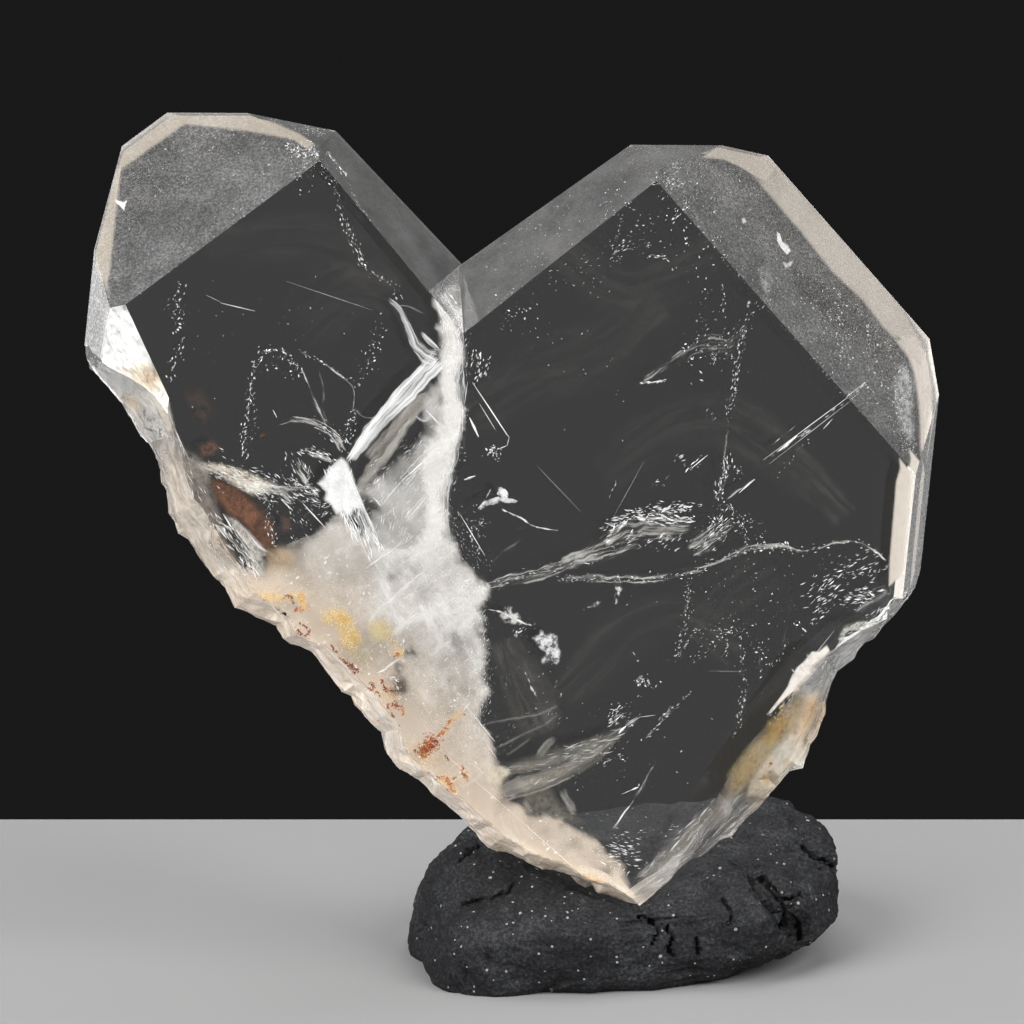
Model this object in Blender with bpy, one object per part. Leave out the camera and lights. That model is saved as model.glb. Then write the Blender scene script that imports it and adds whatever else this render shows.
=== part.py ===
"""Japan-law quartz twin standing in a lump of display putty.

Blender 4.5 script, metres, +Z up. The origin is on the surface that it stands on,
under the middle of the putty.
Two flattened quartz crystals share one front face and one back face. Their long axes
meet at the Japan-law angle, so that the pair has the outline of a heart. The lower
ends are broken, and the lowest point is pressed into the putty.
"""

import math
import random

import bmesh
import bpy
from mathutils import Matrix, Vector, noise

MM = 0.001

# Crystal law: the angle between the two long axes, and how far the normal of a
# rhombohedral end face rises from the prism faces towards the long axis
TWIN_ANGLE = math.radians(84.55)
RHOMB_RISE = math.radians(38.21)

# The plate that both crystals share, from its front face to its back face
PLATE_THICKNESS = 6.6 * MM

# Distance of each end face from the notch's front corner, by its turn in degrees
# about the crystal's own long axis. Turn 0 is the front, 90 the outer side.
RIGHT_END_FACES = {0: 8.95, 60: 25.46, 120: 28.24, 180: 16.94, -120: 11.62, -60: 8.75}
LEFT_END_FACES = {0: 8.17, 60: 19.06, 120: 21.21, 180: 17.08, -120: 10.75, -60: 7.96}

# The prism faces beside the notch narrow upwards: turn, distance and taper in degrees
RIGHT_NOTCH_FACES = ((-58.5, 0.0, 3.2), (-120.0, 4.93, 7.7))
LEFT_NOTCH_FACES = ((-60.0, 0.0, 3.1), (-120.0, 5.28, 10.2))

# Broken edge, from the left shoulder over the lowest point to the right shoulder:
# x and z of the outline, then how far the front face and the back face stop short
BROKEN_EDGE = (
    (-23.4, -2.4, 0.1, 0.1),
    (-21.8, -3.1, 0.3, 0.2),
    (-21.3, -4.3, 0.8, 0.4),
    (-20.2, -5.3, 1.4, 0.6),
    (-19.2, -6.2, 1.7, 0.9),
    (-17.7, -7.8, 1.4, 1.0),
    (-16.6, -10.0, 1.2, 0.8),
    (-15.9, -12.5, 1.6, 0.7),
    (-12.8, -15.8, 1.5, 1.0),
    (-11.4, -17.5, 1.2, 1.2),
    (-8.8, -18.4, 0.9, 0.8),
    (-8.4, -19.2, 0.8, 0.9),
    (-6.7, -19.9, 0.9, 1.0),
    (-4.1, -22.2, 1.1, 1.2),
    (-2.0, -24.2, 1.0, 0.9),
    (-1.5, -25.3, 0.8, 1.0),
    (2.3, -28.2, 0.9, 1.3),
    (5.1, -30.2, 0.8, 1.0),
    (9.0, -31.4, 0.6, 0.9),
    (12.4, -32.2, 0.4, 0.8),
    (14.0, -32.8, 0.3, 0.7),
    (16.0, -31.4, 0.7, 0.8),
    (17.7, -29.7, 1.6, 0.9),
    (19.4, -28.3, 2.6, 1.0),
    (21.7, -25.7, 3.5, 1.1),
    (23.3, -23.8, 4.0, 0.9),
    (23.7, -21.7, 3.0, 0.8),
    (24.3, -19.7, 2.4, 0.8),
    (24.9, -17.9, 1.5, 1.0),
    (26.4, -16.0, 1.2, 0.9),
    (27.6, -14.8, 1.0, 0.7),
    (28.7, -13.1, 0.9, 0.5),
    (29.4, -10.4, 0.2, 0.2),
)
LOWEST_POINT = 20

# Shallow flake lost from the front of the left shoulder: its box across the plate, the
# corner where it runs out, and how it deepens to the left and downwards
FLAKE_LEFT = -26.0 * MM
FLAKE_RIGHT = -16.9 * MM
FLAKE_LOW = -6.7 * MM
FLAKE_HIGH = 1.5 * MM
FLAKE_CORNER = (-20.0 * MM, -0.3 * MM)
FLAKE_SLOPES = (0.274, 0.164)
FLAKE_CLEARANCE = 3.0 * MM

# The broken wall stands out most at this depth behind the front face, and curves
# away from there to the back face
WALL_BULGE_DEPTH = 3.4 * MM
WALL_BACK_CURVE = 1.6
WALL_STEP = 0.62 * MM
WALL_LEVELS = 11
WALL_CLEARANCE = 0.5 * MM
WALL_BLEND_REACH = 3

# The outline passes this far outside the crystals' whole faces
OUTER_MARGIN = 12.0 * MM
OUTER_TOP = 32.0 * MM

# Break facets: how many, how far they stand from the wall, and how far they tilt
LEFT_FACETS = (110, 0.14 * MM, 0.15)
RIGHT_FACETS = (26, 0.16 * MM, 0.12)
BREAK_SEED = 11

# Where the notch's front corner stands, and how the plate leans back, to the right,
# and turns about the vertical
NOTCH_PLACE = (-9.84 * MM, -0.81 * MM, 38.52 * MM)
PLATE_LEAN = (math.radians(-12.6), math.radians(7.45), math.radians(5.78))

# Putty lump: its half length and half depth, the height of its middle, and how far
# it rises and falls from there. It swells to the back and lifts to the right.
PUTTY_HALF_LENGTH = 12.7 * MM
PUTTY_HALF_DEPTH = 8.0 * MM
PUTTY_MIDDLE = 2.5 * MM
PUTTY_RISE = 4.4 * MM
PUTTY_FALL = 3.4 * MM
PUTTY_TURN = math.radians(11.0)
PUTTY_BOXINESS = 0.62
PUTTY_BACK_SWELL = 38.0
PUTTY_RIGHT_LIFT = 0.11
PUTTY_OUTWARD = Vector((1.0, 1.5, 2.0))
PUTTY_COLUMNS = 84
PUTTY_ROWS = 30

# The lump rises behind the crystals' left edge: where, how wide and how high
PUTTY_BUTTRESS = Vector((-7.6 * MM, 3.6 * MM))
BUTTRESS_REACH = 3.4 * MM
BUTTRESS_RISE = 2.2 * MM

# Relief of the putty: wide lobes, crumbs and the cracks between them
LOBE_SIZE = 6.5 * MM
LOBE_HEIGHT = 1.1 * MM
CRUMB_SIZE = 2.2 * MM
CRUMB_HEIGHT = 0.30 * MM
CRUMB_FALLOFF = 0.9
CRUMB_LACUNARITY = 2.1
CRUMB_OCTAVES = 3
VEIN_SPACING = 4.4 * MM
VEIN_SHIFT = Vector((7.3, 1.9, 4.1))
VEIN_WIDTH = 0.12
VEIN_DEPTH = 0.45 * MM

# Deep cracks in the side that is seen: points across and up the view in mm, then the
# half width and the depth. The view looks down at this angle.
VIEW_PITCH = math.radians(16.0)
DEEP_CRACKS = (
    (((7.8, 4.6), (8.9, 3.1), (9.8, 1.9), (10.1, 1.0)), 0.75 * MM, 1.7 * MM),
    (((0.6, 2.3), (2.2, 1.9), (2.4, 1.0), (2.4, 0.1)), 0.55 * MM, 1.1 * MM),
    (((10.4, 6.2), (11.4, 5.5), (12.7, 5.0)), 0.5 * MM, 0.9 * MM),
    (((-10.0, 3.0), (-8.3, 3.4), (-7.0, 3.9), (-6.8, 4.4)), 0.45 * MM, 0.6 * MM),
)

# Pocket for the twin's foot: the gap all round, what a corner needs beyond it, and
# how high above the floor it reaches
PUTTY_GAP = 0.35 * MM
CORNER_ALLOWANCE = 1.4
POCKET_TOP = 13.0 * MM

CRYSTAL_BLOCK = 60.0 * MM


def clear_scene():
    """Remove every object, so that the part stands alone."""
    for old in list(bpy.data.objects):
        bpy.data.objects.remove(old, do_unlink=True)


def make_material(name, colour, roughness, metallic=0.0, transmission=0.0, ior=1.45):
    """Make a Principled material."""
    material = bpy.data.materials.new(name)
    material.use_nodes = True
    shader = material.node_tree.nodes["Principled BSDF"]
    shader.inputs["Base Color"].default_value = (*colour, 1.0)
    shader.inputs["Roughness"].default_value = roughness
    shader.inputs["Metallic"].default_value = metallic
    shader.inputs["Transmission Weight"].default_value = transmission
    shader.inputs["IOR"].default_value = ior
    return material


def link_object(name, bm):
    """Turn a bmesh into a linked object."""
    bmesh.ops.recalc_face_normals(bm, faces=bm.faces)
    mesh = bpy.data.meshes.new(name)
    bm.to_mesh(mesh)
    bm.free()
    made = bpy.data.objects.new(name, mesh)
    bpy.context.collection.objects.link(made)
    return made


def make_cutter(made):
    """Keep an object out of the part and show it as a wire guide."""
    made.hide_render = True
    made.display_type = "WIRE"
    return made


def add_boolean(target, operation, cutter):
    """Combine a cutter with a target, exactly."""
    step = target.modifiers.new(operation.title(), "BOOLEAN")
    step.operation = operation
    step.solver = "EXACT"
    step.object = cutter


def crystal_axes(side):
    """Long axis and outward axis of the crystal on one side, in the plate's plane."""
    half = TWIN_ANGLE / 2
    along = Vector((side * math.sin(half), 0.0, math.cos(half)))
    outward = Vector((side * math.cos(half), 0.0, -math.sin(half)))
    return along, outward


def face_normal(side, turn, rise):
    """Normal of the face at this turn about the long axis, risen towards its tip."""
    along, outward = crystal_axes(side)
    front = Vector((0.0, -1.0, 0.0))
    radial = front * math.cos(turn) + outward * math.sin(turn)
    return radial * math.cos(rise) + along * math.sin(rise)


def cut_flat(bm, normal, distance):
    """Cut a convex body with a plane and close the cut."""
    everything = bm.verts[:] + bm.edges[:] + bm.faces[:]
    cut = bmesh.ops.bisect_plane(
        bm, geom=everything, dist=1e-7, plane_co=normal * distance,
        plane_no=normal, clear_outer=True)
    rim = [item for item in cut["geom_cut"] if isinstance(item, bmesh.types.BMEdge)]
    if rim:
        bmesh.ops.edgeloop_fill(bm, edges=rim)


def crystal(name, side, end_faces, notch_faces):
    """One crystal of the pair: a block cut down by its own crystal faces."""
    bm = bmesh.new()
    bmesh.ops.create_cube(bm, size=2 * CRYSTAL_BLOCK)
    cut_flat(bm, Vector((0.0, -1.0, 0.0)), 0.0)
    cut_flat(bm, Vector((0.0, 1.0, 0.0)), PLATE_THICKNESS)
    for turn, distance in end_faces.items():
        cut_flat(bm, face_normal(side, math.radians(turn), RHOMB_RISE), distance * MM)
    for turn, distance, taper in notch_faces:
        normal = face_normal(side, math.radians(turn), math.radians(taper))
        cut_flat(bm, normal, distance * MM)
    return link_object(name, bm)


def facet_heights(rng, facets, length):
    """Seeds of the flat break facets along a stretch of wall."""
    count, step, tilt = facets
    seeds = []
    for _ in range(count):
        place = Vector((rng.uniform(0.0, length), rng.uniform(0.0, PLATE_THICKNESS)))
        slope = Vector((rng.uniform(-tilt, tilt), rng.uniform(-tilt, tilt)))
        seeds.append((place, rng.uniform(-step, step), slope))
    return seeds


def facet_height(seeds, place):
    """How far the wall stands out here, from the nearest break facet."""
    middle, height, slope = min(seeds, key=lambda seed: (seed[0] - place).length_squared)
    return height + slope.dot(place - middle)


def walk_edge(points):
    """Even steps along the broken edge: place, outward direction and two setbacks."""
    steps = []
    for start, end in zip(points, points[1:]):
        a = Vector(start[:2]) * MM
        b = Vector(end[:2]) * MM
        count = max(1, round((b - a).length / WALL_STEP))
        run = (b - a).normalized()
        outward = Vector((run.y, -run.x))
        for index in range(count):
            share = index / count
            front = (start[2] + (end[2] - start[2]) * share) * MM
            back = (start[3] + (end[3] - start[3]) * share) * MM
            steps.append((a.lerp(b, share), outward, front, back))
    return steps


def setback(depth, front, back):
    """How far the wall stops short of the outline at this depth."""
    if depth < WALL_BULGE_DEPTH:
        return front * (1.0 - depth / WALL_BULGE_DEPTH)
    share = (depth - WALL_BULGE_DEPTH) / (PLATE_THICKNESS - WALL_BULGE_DEPTH)
    return back * share ** WALL_BACK_CURVE


def smooth_outwards(steps):
    """Blend each step's outward direction with its neighbours'."""
    blended = []
    for index in range(len(steps)):
        near = steps[max(0, index - WALL_BLEND_REACH):index + WALL_BLEND_REACH + 1]
        total = sum((step[1] for step in near), Vector((0.0, 0.0)))
        blended.append(total.normalized())
    return blended


def broken_outline():
    """Solid that keeps the twin inside its broken edge."""
    rng = random.Random(BREAK_SEED)
    left = walk_edge(BROKEN_EDGE[:LOWEST_POINT + 1])
    right = walk_edge(BROKEN_EDGE[LOWEST_POINT:])
    steps = left + right
    outwards = smooth_outwards(steps)
    left_seeds = facet_heights(rng, LEFT_FACETS, len(left) * WALL_STEP)
    right_seeds = facet_heights(rng, RIGHT_FACETS, len(right) * WALL_STEP)
    span = PLATE_THICKNESS + 2 * WALL_CLEARANCE
    depths = [span * level / (WALL_LEVELS - 1) - WALL_CLEARANCE for level in range(WALL_LEVELS)]

    bm = bmesh.new()
    rings = []
    for depth in depths:
        ring = []
        for index, (place, _, front, back) in enumerate(steps):
            if index < len(left):
                height = facet_height(left_seeds, Vector((index * WALL_STEP, depth)))
            else:
                along = (index - len(left)) * WALL_STEP
                height = facet_height(right_seeds, Vector((along, depth)))
            height -= setback(depth, front, back)
            point = place + outwards[index] * height
            ring.append(bm.verts.new((point.x, depth, point.y)))
        rings.append(ring + outer_corners(bm, depth))
    close_rings(bm, rings)
    return make_cutter(link_object("broken_outline", bm))


def outer_corners(bm, depth):
    """Corners well outside the whole faces, where nothing is cut."""
    first_x = BROKEN_EDGE[0][0] * MM
    last_x = BROKEN_EDGE[-1][0] * MM
    corners = (
        (last_x + OUTER_MARGIN, BROKEN_EDGE[-1][1] * MM),
        (last_x + OUTER_MARGIN, OUTER_TOP),
        (first_x - OUTER_MARGIN, OUTER_TOP),
        (first_x - OUTER_MARGIN, BROKEN_EDGE[0][1] * MM),
    )
    return [bm.verts.new((x, depth, z)) for x, z in corners]


def close_rings(bm, rings):
    """Join rings of points into a closed body with flat ends."""
    count = len(rings[0])
    for lower, upper in zip(rings, rings[1:]):
        for index in range(count):
            after = (index + 1) % count
            bm.faces.new((lower[index], lower[after], upper[after], upper[index]))
    bm.faces.new(rings[0])
    bm.faces.new(rings[-1])
    walls = [face for face in bm.faces if len(face.verts) == 4]
    bmesh.ops.triangulate(bm, faces=walls)


def shoulder_flake():
    """What the shallow flake took away: a slab whose back face is the flake's surface."""
    bm = bmesh.new()
    rings = []
    for flat in (False, True):
        ring = []
        for x, z in ((FLAKE_LEFT, FLAKE_LOW), (FLAKE_RIGHT, FLAKE_LOW),
                     (FLAKE_RIGHT, FLAKE_HIGH), (FLAKE_LEFT, FLAKE_HIGH)):
            depth = FLAKE_SLOPES[0] * (FLAKE_CORNER[0] - x) + FLAKE_SLOPES[1] * (FLAKE_CORNER[1] - z)
            ring.append(bm.verts.new((x, -FLAKE_CLEARANCE if flat else depth, z)))
        rings.append(ring)
    close_rings(bm, rings)
    return make_cutter(link_object("shoulder_flake", bm))


def place_on_plate(made):
    """Stand a piece of the plate where the leaning plate stands."""
    made.location = NOTCH_PLACE
    made.rotation_euler = PLATE_LEAN


def quartz_twin():
    """The whole twin: two crystals joined, then broken off below."""
    twin = crystal("quartz_twin", 1, RIGHT_END_FACES, RIGHT_NOTCH_FACES)
    partner = make_cutter(crystal("left_crystal", -1, LEFT_END_FACES, LEFT_NOTCH_FACES))
    outline = broken_outline()
    flake = shoulder_flake()
    for piece in (twin, partner, outline, flake):
        place_on_plate(piece)
    add_boolean(twin, "UNION", partner)
    add_boolean(twin, "INTERSECT", outline)
    add_boolean(twin, "DIFFERENCE", flake)
    clear_quartz = make_material("clear_quartz", (0.97, 0.97, 0.96), 0.02, 0.0, 1.0, 1.544)
    twin.data.materials.append(clear_quartz)
    return twin


def distance_to_path(path, place):
    """Shortest distance from a place to a path of straight stretches, in metres."""
    nearest = math.inf
    for start, end in zip(path, path[1:]):
        a = Vector(start) * MM
        run = Vector(end) * MM - a
        share = min(1.0, max(0.0, (place - a).dot(run) / run.length_squared))
        nearest = min(nearest, (place - a - run * share).length)
    return nearest


def boxy(value):
    """Round or square off a circle's coordinate."""
    return math.copysign(abs(value) ** PUTTY_BOXINESS, value)


def putty_surface(turn, rise):
    """Point of the lump's smooth form at a turn and a rise, before it is pressed."""
    ring = boxy(math.cos(rise))
    height = boxy(math.sin(rise))
    point = Vector((
        PUTTY_HALF_LENGTH * boxy(math.cos(turn)) * ring,
        PUTTY_HALF_DEPTH * boxy(math.sin(turn)) * ring,
        height * (PUTTY_RISE if height > 0 else PUTTY_FALL),
    ))
    if point.z > 0:
        away = (point.xy - PUTTY_BUTTRESS).length / BUTTRESS_REACH
        buttress = BUTTRESS_RISE * math.exp(-away * away) * point.z / PUTTY_RISE
        point.z *= 1.0 + PUTTY_BACK_SWELL * point.y
        point.z += buttress
    point.z += PUTTY_RIGHT_LIFT * point.x
    return point


def putty_relief(point):
    """Lobes, crumbs and cracks: how far the lump swells or sinks at a point."""
    lobes = noise.noise(point / LOBE_SIZE) * LOBE_HEIGHT
    crumbs = noise.fractal(point / CRUMB_SIZE, CRUMB_FALLOFF, CRUMB_LACUNARITY, CRUMB_OCTAVES)
    crumbs *= CRUMB_HEIGHT
    vein = abs(noise.noise(point / VEIN_SPACING + VEIN_SHIFT))
    furrow = max(0.0, 1.0 - vein / VEIN_WIDTH) ** 2 * VEIN_DEPTH
    return lobes + crumbs - furrow


def crack_depth(point, outward):
    """Depth of the deep cracks at a point, on the side that the view sees."""
    if outward.z * math.sin(VIEW_PITCH) < outward.y * math.cos(VIEW_PITCH):
        return 0.0
    up = point.z * math.cos(VIEW_PITCH) + point.y * math.sin(VIEW_PITCH)
    place = Vector((point.x, up))
    deepest = 0.0
    for path, half_width, depth in DEEP_CRACKS:
        share = 1.0 - distance_to_path(path, place) / half_width
        deepest = max(deepest, share * depth)
    return deepest


def putty_form():
    """The crumbly lump with its flat foot."""
    bm = bmesh.new()
    turn = Matrix.Rotation(PUTTY_TURN, 3, "Z")
    lift = Vector((0.0, 0.0, PUTTY_MIDDLE))
    rings = []
    for row in range(1, PUTTY_ROWS):
        rise = math.pi * (row / PUTTY_ROWS - 0.5)
        ring = []
        for column in range(PUTTY_COLUMNS):
            point = putty_surface(math.tau * column / PUTTY_COLUMNS, rise)
            outward = (point * PUTTY_OUTWARD).normalized()
            point += outward * putty_relief(point)
            point = turn @ point + lift
            outward = turn @ outward
            ring.append(bm.verts.new(point - outward * crack_depth(point, outward)))
        rings.append(ring)
    close_rings(bm, rings)
    cut_flat(bm, Vector((0.0, 0.0, -1.0)), 0.0)
    bmesh.ops.triangulate(bm, faces=[face for face in bm.faces if len(face.verts) == 4])
    return link_object("putty_lump", bm)


def pocket(twin):
    """Room for the foot of the twin, a small gap larger all round."""
    shape = twin.evaluated_get(bpy.context.evaluated_depsgraph_get())
    mesh = shape.to_mesh()
    bm = bmesh.new()
    for vertex in mesh.vertices:
        place = twin.matrix_world @ vertex.co
        if place.z < POCKET_TOP:
            bm.verts.new(place)
    shape.to_mesh_clear()
    hull = bmesh.ops.convex_hull(bm, input=bm.verts)
    spare = [item for item in hull["geom_interior"] if isinstance(item, bmesh.types.BMVert)]
    bmesh.ops.delete(bm, geom=spare, context="VERTS")
    bmesh.ops.recalc_face_normals(bm, faces=bm.faces)
    grown = {vertex: vertex.co + vertex.normal * PUTTY_GAP * CORNER_ALLOWANCE for vertex in bm.verts}
    for vertex, place in grown.items():
        vertex.co = place
    return make_cutter(link_object("putty_pocket", bm))


def putty_lump(twin):
    """The holder: dark modelling putty pressed round the twin's lowest point."""
    lump = putty_form()
    add_boolean(lump, "DIFFERENCE", pocket(twin))
    dark_putty = make_material("dark_putty", (0.035, 0.036, 0.040), 0.8)
    lump.data.materials.append(dark_putty)
    return lump


def main():
    clear_scene()
    twin = quartz_twin()
    bpy.context.view_layer.update()
    putty_lump(twin)


main()
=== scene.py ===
"""Looks of the Japan-law quartz twin and its putty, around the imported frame.

The crystal's pieces are made in the plate's own frame, in metres: X to the right along
the front face, Y from the front face to the back, Z up along the line where the two
crystals meet, with the origin in the notch's front corner. What lies inside the plate is
placed as it is seen from the front: steps across, steps down, and a depth in millimetres.
"""

import math
import random

import bmesh
import bpy
from mathutils import Euler, Matrix, Vector, noise
from mathutils.bvhtree import BVHTree


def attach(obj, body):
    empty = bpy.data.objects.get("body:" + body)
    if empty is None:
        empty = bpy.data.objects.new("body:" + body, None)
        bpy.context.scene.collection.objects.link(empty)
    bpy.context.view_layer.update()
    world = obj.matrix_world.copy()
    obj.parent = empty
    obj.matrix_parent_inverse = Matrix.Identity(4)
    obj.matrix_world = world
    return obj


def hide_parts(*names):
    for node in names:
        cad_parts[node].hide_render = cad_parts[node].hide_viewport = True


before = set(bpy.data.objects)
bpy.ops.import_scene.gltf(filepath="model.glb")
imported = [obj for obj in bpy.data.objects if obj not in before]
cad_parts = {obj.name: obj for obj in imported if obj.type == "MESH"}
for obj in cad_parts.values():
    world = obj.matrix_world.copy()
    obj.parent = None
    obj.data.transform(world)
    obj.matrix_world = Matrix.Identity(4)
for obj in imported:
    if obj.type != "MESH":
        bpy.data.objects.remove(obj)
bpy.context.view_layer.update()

MM = 0.001

# The plate that both crystals share, as the solids have it
TWIN_ANGLE = math.radians(84.55)
RHOMB_RISE = math.radians(38.21)
NOTCH_PLACE = Vector((-9.84, -0.81, 38.52)) * MM
PLATE_LEAN = Euler((math.radians(-12.6), math.radians(7.45), math.radians(5.78)))
PLATE = Matrix.Translation(NOTCH_PLACE) @ PLATE_LEAN.to_matrix().to_4x4()
QUARTZ_IOR = 1.544

# From steps across and down the view to millimetres of the plate
STEP = 0.0589
SEEN_ORIGIN = Vector((-29.22, 16.94))
SEEN_ACROSS = Vector((0.05898, 0.00594))
SEEN_DOWN = Vector((0.00603, -0.0589))
SEEN_DEPTH = Vector((0.056, -0.020))

# Camera: where it stands, how far it looks down, and its lens
CAMERA_PLACE = Vector((-7.0, -511.7, 174.1)) * MM
CAMERA_PITCH = math.radians(16.0)
LENS_MM = 316.4
SENSOR_MM = 36.0

# Wall of the broken edges: size of its fine mesh and depth of its roughness
WELD = 0.002 * MM
WALL_CUTS = 2
WALL_ROUGHNESS = 0.06 * MM
FLAT_ENOUGH = math.cos(math.radians(0.15))
FLAKE_NORMAL = Vector((-0.261, -0.953, -0.156))
FLAKE_CUTS = 4
FLAKE_ROUGHNESS = 0.5 * MM

# The twin's materials, in the order of its slots
CLEAR, FROSTED, HAZY, STRIP, PALE, WHITE, WALL = range(7)
FROSTED_FACES = ("right_0", "left_0")
STRIP_FACES = ("right_60", "left_60")
# The back end faces are frosted, and their pale colour is painted reflection of light inside the crystal.
PALE_FACES = ("right_120", "left_120", "right_180", "left_180", "right_-120", "left_-120")

# How the broken wall looks at places seen: across, down, then how milky, how warm and
# how amber it is there
WALL_LOOKS = (
    (95, 365, 0.20, 0.0, 0), (120, 385, 0.16, 0.1, 0), (140, 400, 0.45, 0.4, 0.05),
    (150, 430, 0.28, 0.4, 0), (165, 455, 0.32, 0.5, 0), (175, 480, 0.50, 0.7, 0),
    (172, 505, 0.60, 0.7, 0), (190, 530, 0.60, 0.8, 0), (210, 555, 0.42, 0.9, 0),
    (232, 590, 0.65, 0.9, 0), (260, 615, 0.75, 1.0, 0), (300, 640, 0.80, 1.0, 0),
    (350, 695, 0.80, 0.9, 0), (372, 722, 0.75, 0.8, 0), (388, 745, 0.55, 0.5, 0),
    (410, 770, 0.80, 0.9, 0), (470, 825, 0.85, 0.9, 0), (540, 862, 0.85, 1.0, 0),
    (600, 886, 0.85, 1.0, 0), (632, 902, 0.80, 0.9, 0), (650, 888, 0.30, 0.7, 0),
    (680, 868, 0.20, 0.3, 0), (710, 842, 0.22, 0.2, 0), (735, 812, 0.24, 0.2, 0.05),
    (725, 780, 0.15, 0.6, 0.45), (745, 760, 0.15, 0.6, 0.5), (775, 725, 0.12, 0.8, 0.75),
    (782, 755, 0.15, 0.5, 0), (768, 785, 0.20, 0.7, 0.3), (800, 765, 0.40, 0.5, 0),
    (790, 700, 0.20, 0.5, 0.3), (815, 715, 0.38, 0.8, 0.4), (812, 740, 0.45, 0.8, 0.2),
    (815, 690, 0.35, 0.2, 0), (835, 660, 0.28, 0.0, 0), (850, 655, 0.60, 0.0, 0),
    (868, 640, 0.50, 0.0, 0), (885, 612, 0.20, 0.0, 0), (905, 590, 0.20, 0.0, 0),
)
LOOK_REACH = 6.0

# The outline along the broken wall, across and down, from the left shoulder to the right
WALL_LINE = (
    (88, 350), (96, 372), (118, 392), (140, 402), (152, 430), (165, 458), (168, 490), (172, 515),
    (208, 560), (240, 608), (280, 640), (300, 650), (340, 698), (400, 766), (440, 808), (500, 858),
    (560, 884), (632, 903), (680, 868), (735, 812), (790, 762), (812, 725), (830, 668), (868, 632),
    (905, 596), (921, 570),
)

# Putty: longest edge of its mesh, the depth of its crumbs and grains, and its cracks as
# points across and up the view in millimetres, a half width and a depth
PUTTY_EDGE = 0.20 * MM
PUTTY_CRUMB = 0.12 * MM
PUTTY_GRAIN = 0.10 * MM
CRUMBLY_PLACE = Vector((9.5, 0.0, 7.0)) * MM
CRUMBLY_REACH = 5.0 * MM
PUTTY_CRACKS = (
    (((7.9, 4.4), (8.7, 3.4), (9.3, 2.6), (9.9, 1.9), (10.1, 1)), 0.21, 0.56),
    (((8.7, 3.4), (9.5, 3.3), (10.1, 3.6)), 0.14, 0.42),
    (((9.3, 2.6), (8.8, 2), (8.9, 1.4)), 0.13, 0.35),
    (((0.6, 2.4), (1.4, 2), (2.2, 1.9), (2.5, 1.2), (2.3, 0.7), (2.5, 0.1)), 0.16, 0.56),
    (((1.4, 2), (1.6, 1.4), (1.4, 0.9)), 0.1, 0.35),
    (((3.9, 1.1), (4, 0.6), (4.1, 0.2)), 0.11, 0.35),
    (((10.3, 6.3), (10.8, 5.8), (11.4, 5.5), (12.7, 5)), 0.13, 0.42),
    (((-10, 2.9), (-9, 3.3), (-8.3, 3.4), (-7, 3.9), (-6.8, 4.4)), 0.1, 0.28),
    (((-10.1, 5.6), (-9.4, 6.1), (-9, 6.5)), 0.11, 0.35),
    (((5.4, 3.4), (5.9, 2.7), (5.8, 2)), 0.11, 0.35),
)

# Milky zone: its outline, how softly it ends, the middle line of its cream-coloured rim,
# thin places as across, down, radius and strength, and the depths of its sheets
CLOUD_OUTLINE = (
    (436, 300), (446, 312), (457, 325), (461, 340), (461, 360), (456, 380), (458, 400), (461, 420),
    (462, 440), (455, 460), (449, 480), (447, 500), (446, 520), (449, 535), (455, 548), (464, 562),
    (476, 576), (490, 587), (482, 610), (486, 650), (488, 690), (482, 722), (492, 742), (500, 770),
    (505, 796), (530, 815), (565, 822), (600, 838), (622, 868), (638, 912), (600, 900), (560, 886),
    (500, 860), (440, 808), (398, 765), (376, 738), (354, 716), (334, 694), (314, 672), (296, 650),
    (276, 644), (270, 630), (236, 614), (218, 580), (232, 566), (262, 572), (268, 548), (300, 541),
    (330, 528), (340, 512), (358, 532), (375, 545), (392, 548), (410, 540), (424, 520), (422, 500),
    (415, 480), (418, 460), (425, 442), (437, 420), (441, 400), (441, 375), (438, 360), (441, 345),
    (437, 325),
)
SMOKE_OUTLINE = (
    (356, 492), (372, 474), (392, 464), (410, 450), (422, 430), (420, 404), (430, 386), (441, 380),
    (446, 420), (446, 470), (440, 520), (440, 560), (400, 570), (376, 560), (364, 530),
)
SMOKE_SHARE = 0.34
CLOUD_SOFTNESS = 8.0
CLOUD_STEP = 3.2
CLOUD_SHARES = (0.13, 0.24, 0.36, 0.49, 0.62, 0.76, 0.90)
CLOUD_DENSITY = 0.72
RIM_LINE = (
    (215, 575), (262, 600), (300, 628), (345, 680), (388, 728), (425, 770), (470, 808), (520, 840),
    (575, 864), (630, 895),
)
RIM_REACH = 60.0
THIN_PLACES = (
    (398, 687, 10, 0.9), (397, 669, 6, 0.7), (409, 652, 5, 0.8), (350, 656, 15, 0.3),
    (392, 742, 10, 0.6), (345, 568, 16, 0.2), (398, 566, 9, 0.45), (390, 578, 5, 0.6),
    (424, 590, 9, 0.4), (456, 640, 7, 0.7), (461, 652, 5, 0.5), (468, 690, 6, 0.4),
    (400, 476, 12, 0.6), (368, 508, 11, 0.95), (500, 806, 7, 0.5), (428, 430, 9, 0.6),
    (452, 536, 6, 0.5), (478, 632, 5, 0.5), (545, 822, 15, 0.4), (575, 838, 17, 0.45),
    (606, 862, 18, 0.5), (290, 552, 20, 0.6), (322, 542, 14, 0.5), (268, 560, 10, 0.6),
    (530, 824, 5, 0.4), (548, 834, 6, 0.4), (562, 829, 4, 0.6), (577, 843, 5, 0.5),
    (592, 836, 5, 0.6), (598, 852, 5, 0.6), (608, 870, 6, 0.6), (586, 858, 4, 0.4),
    (566, 848, 4, 0.5),
)
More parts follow.
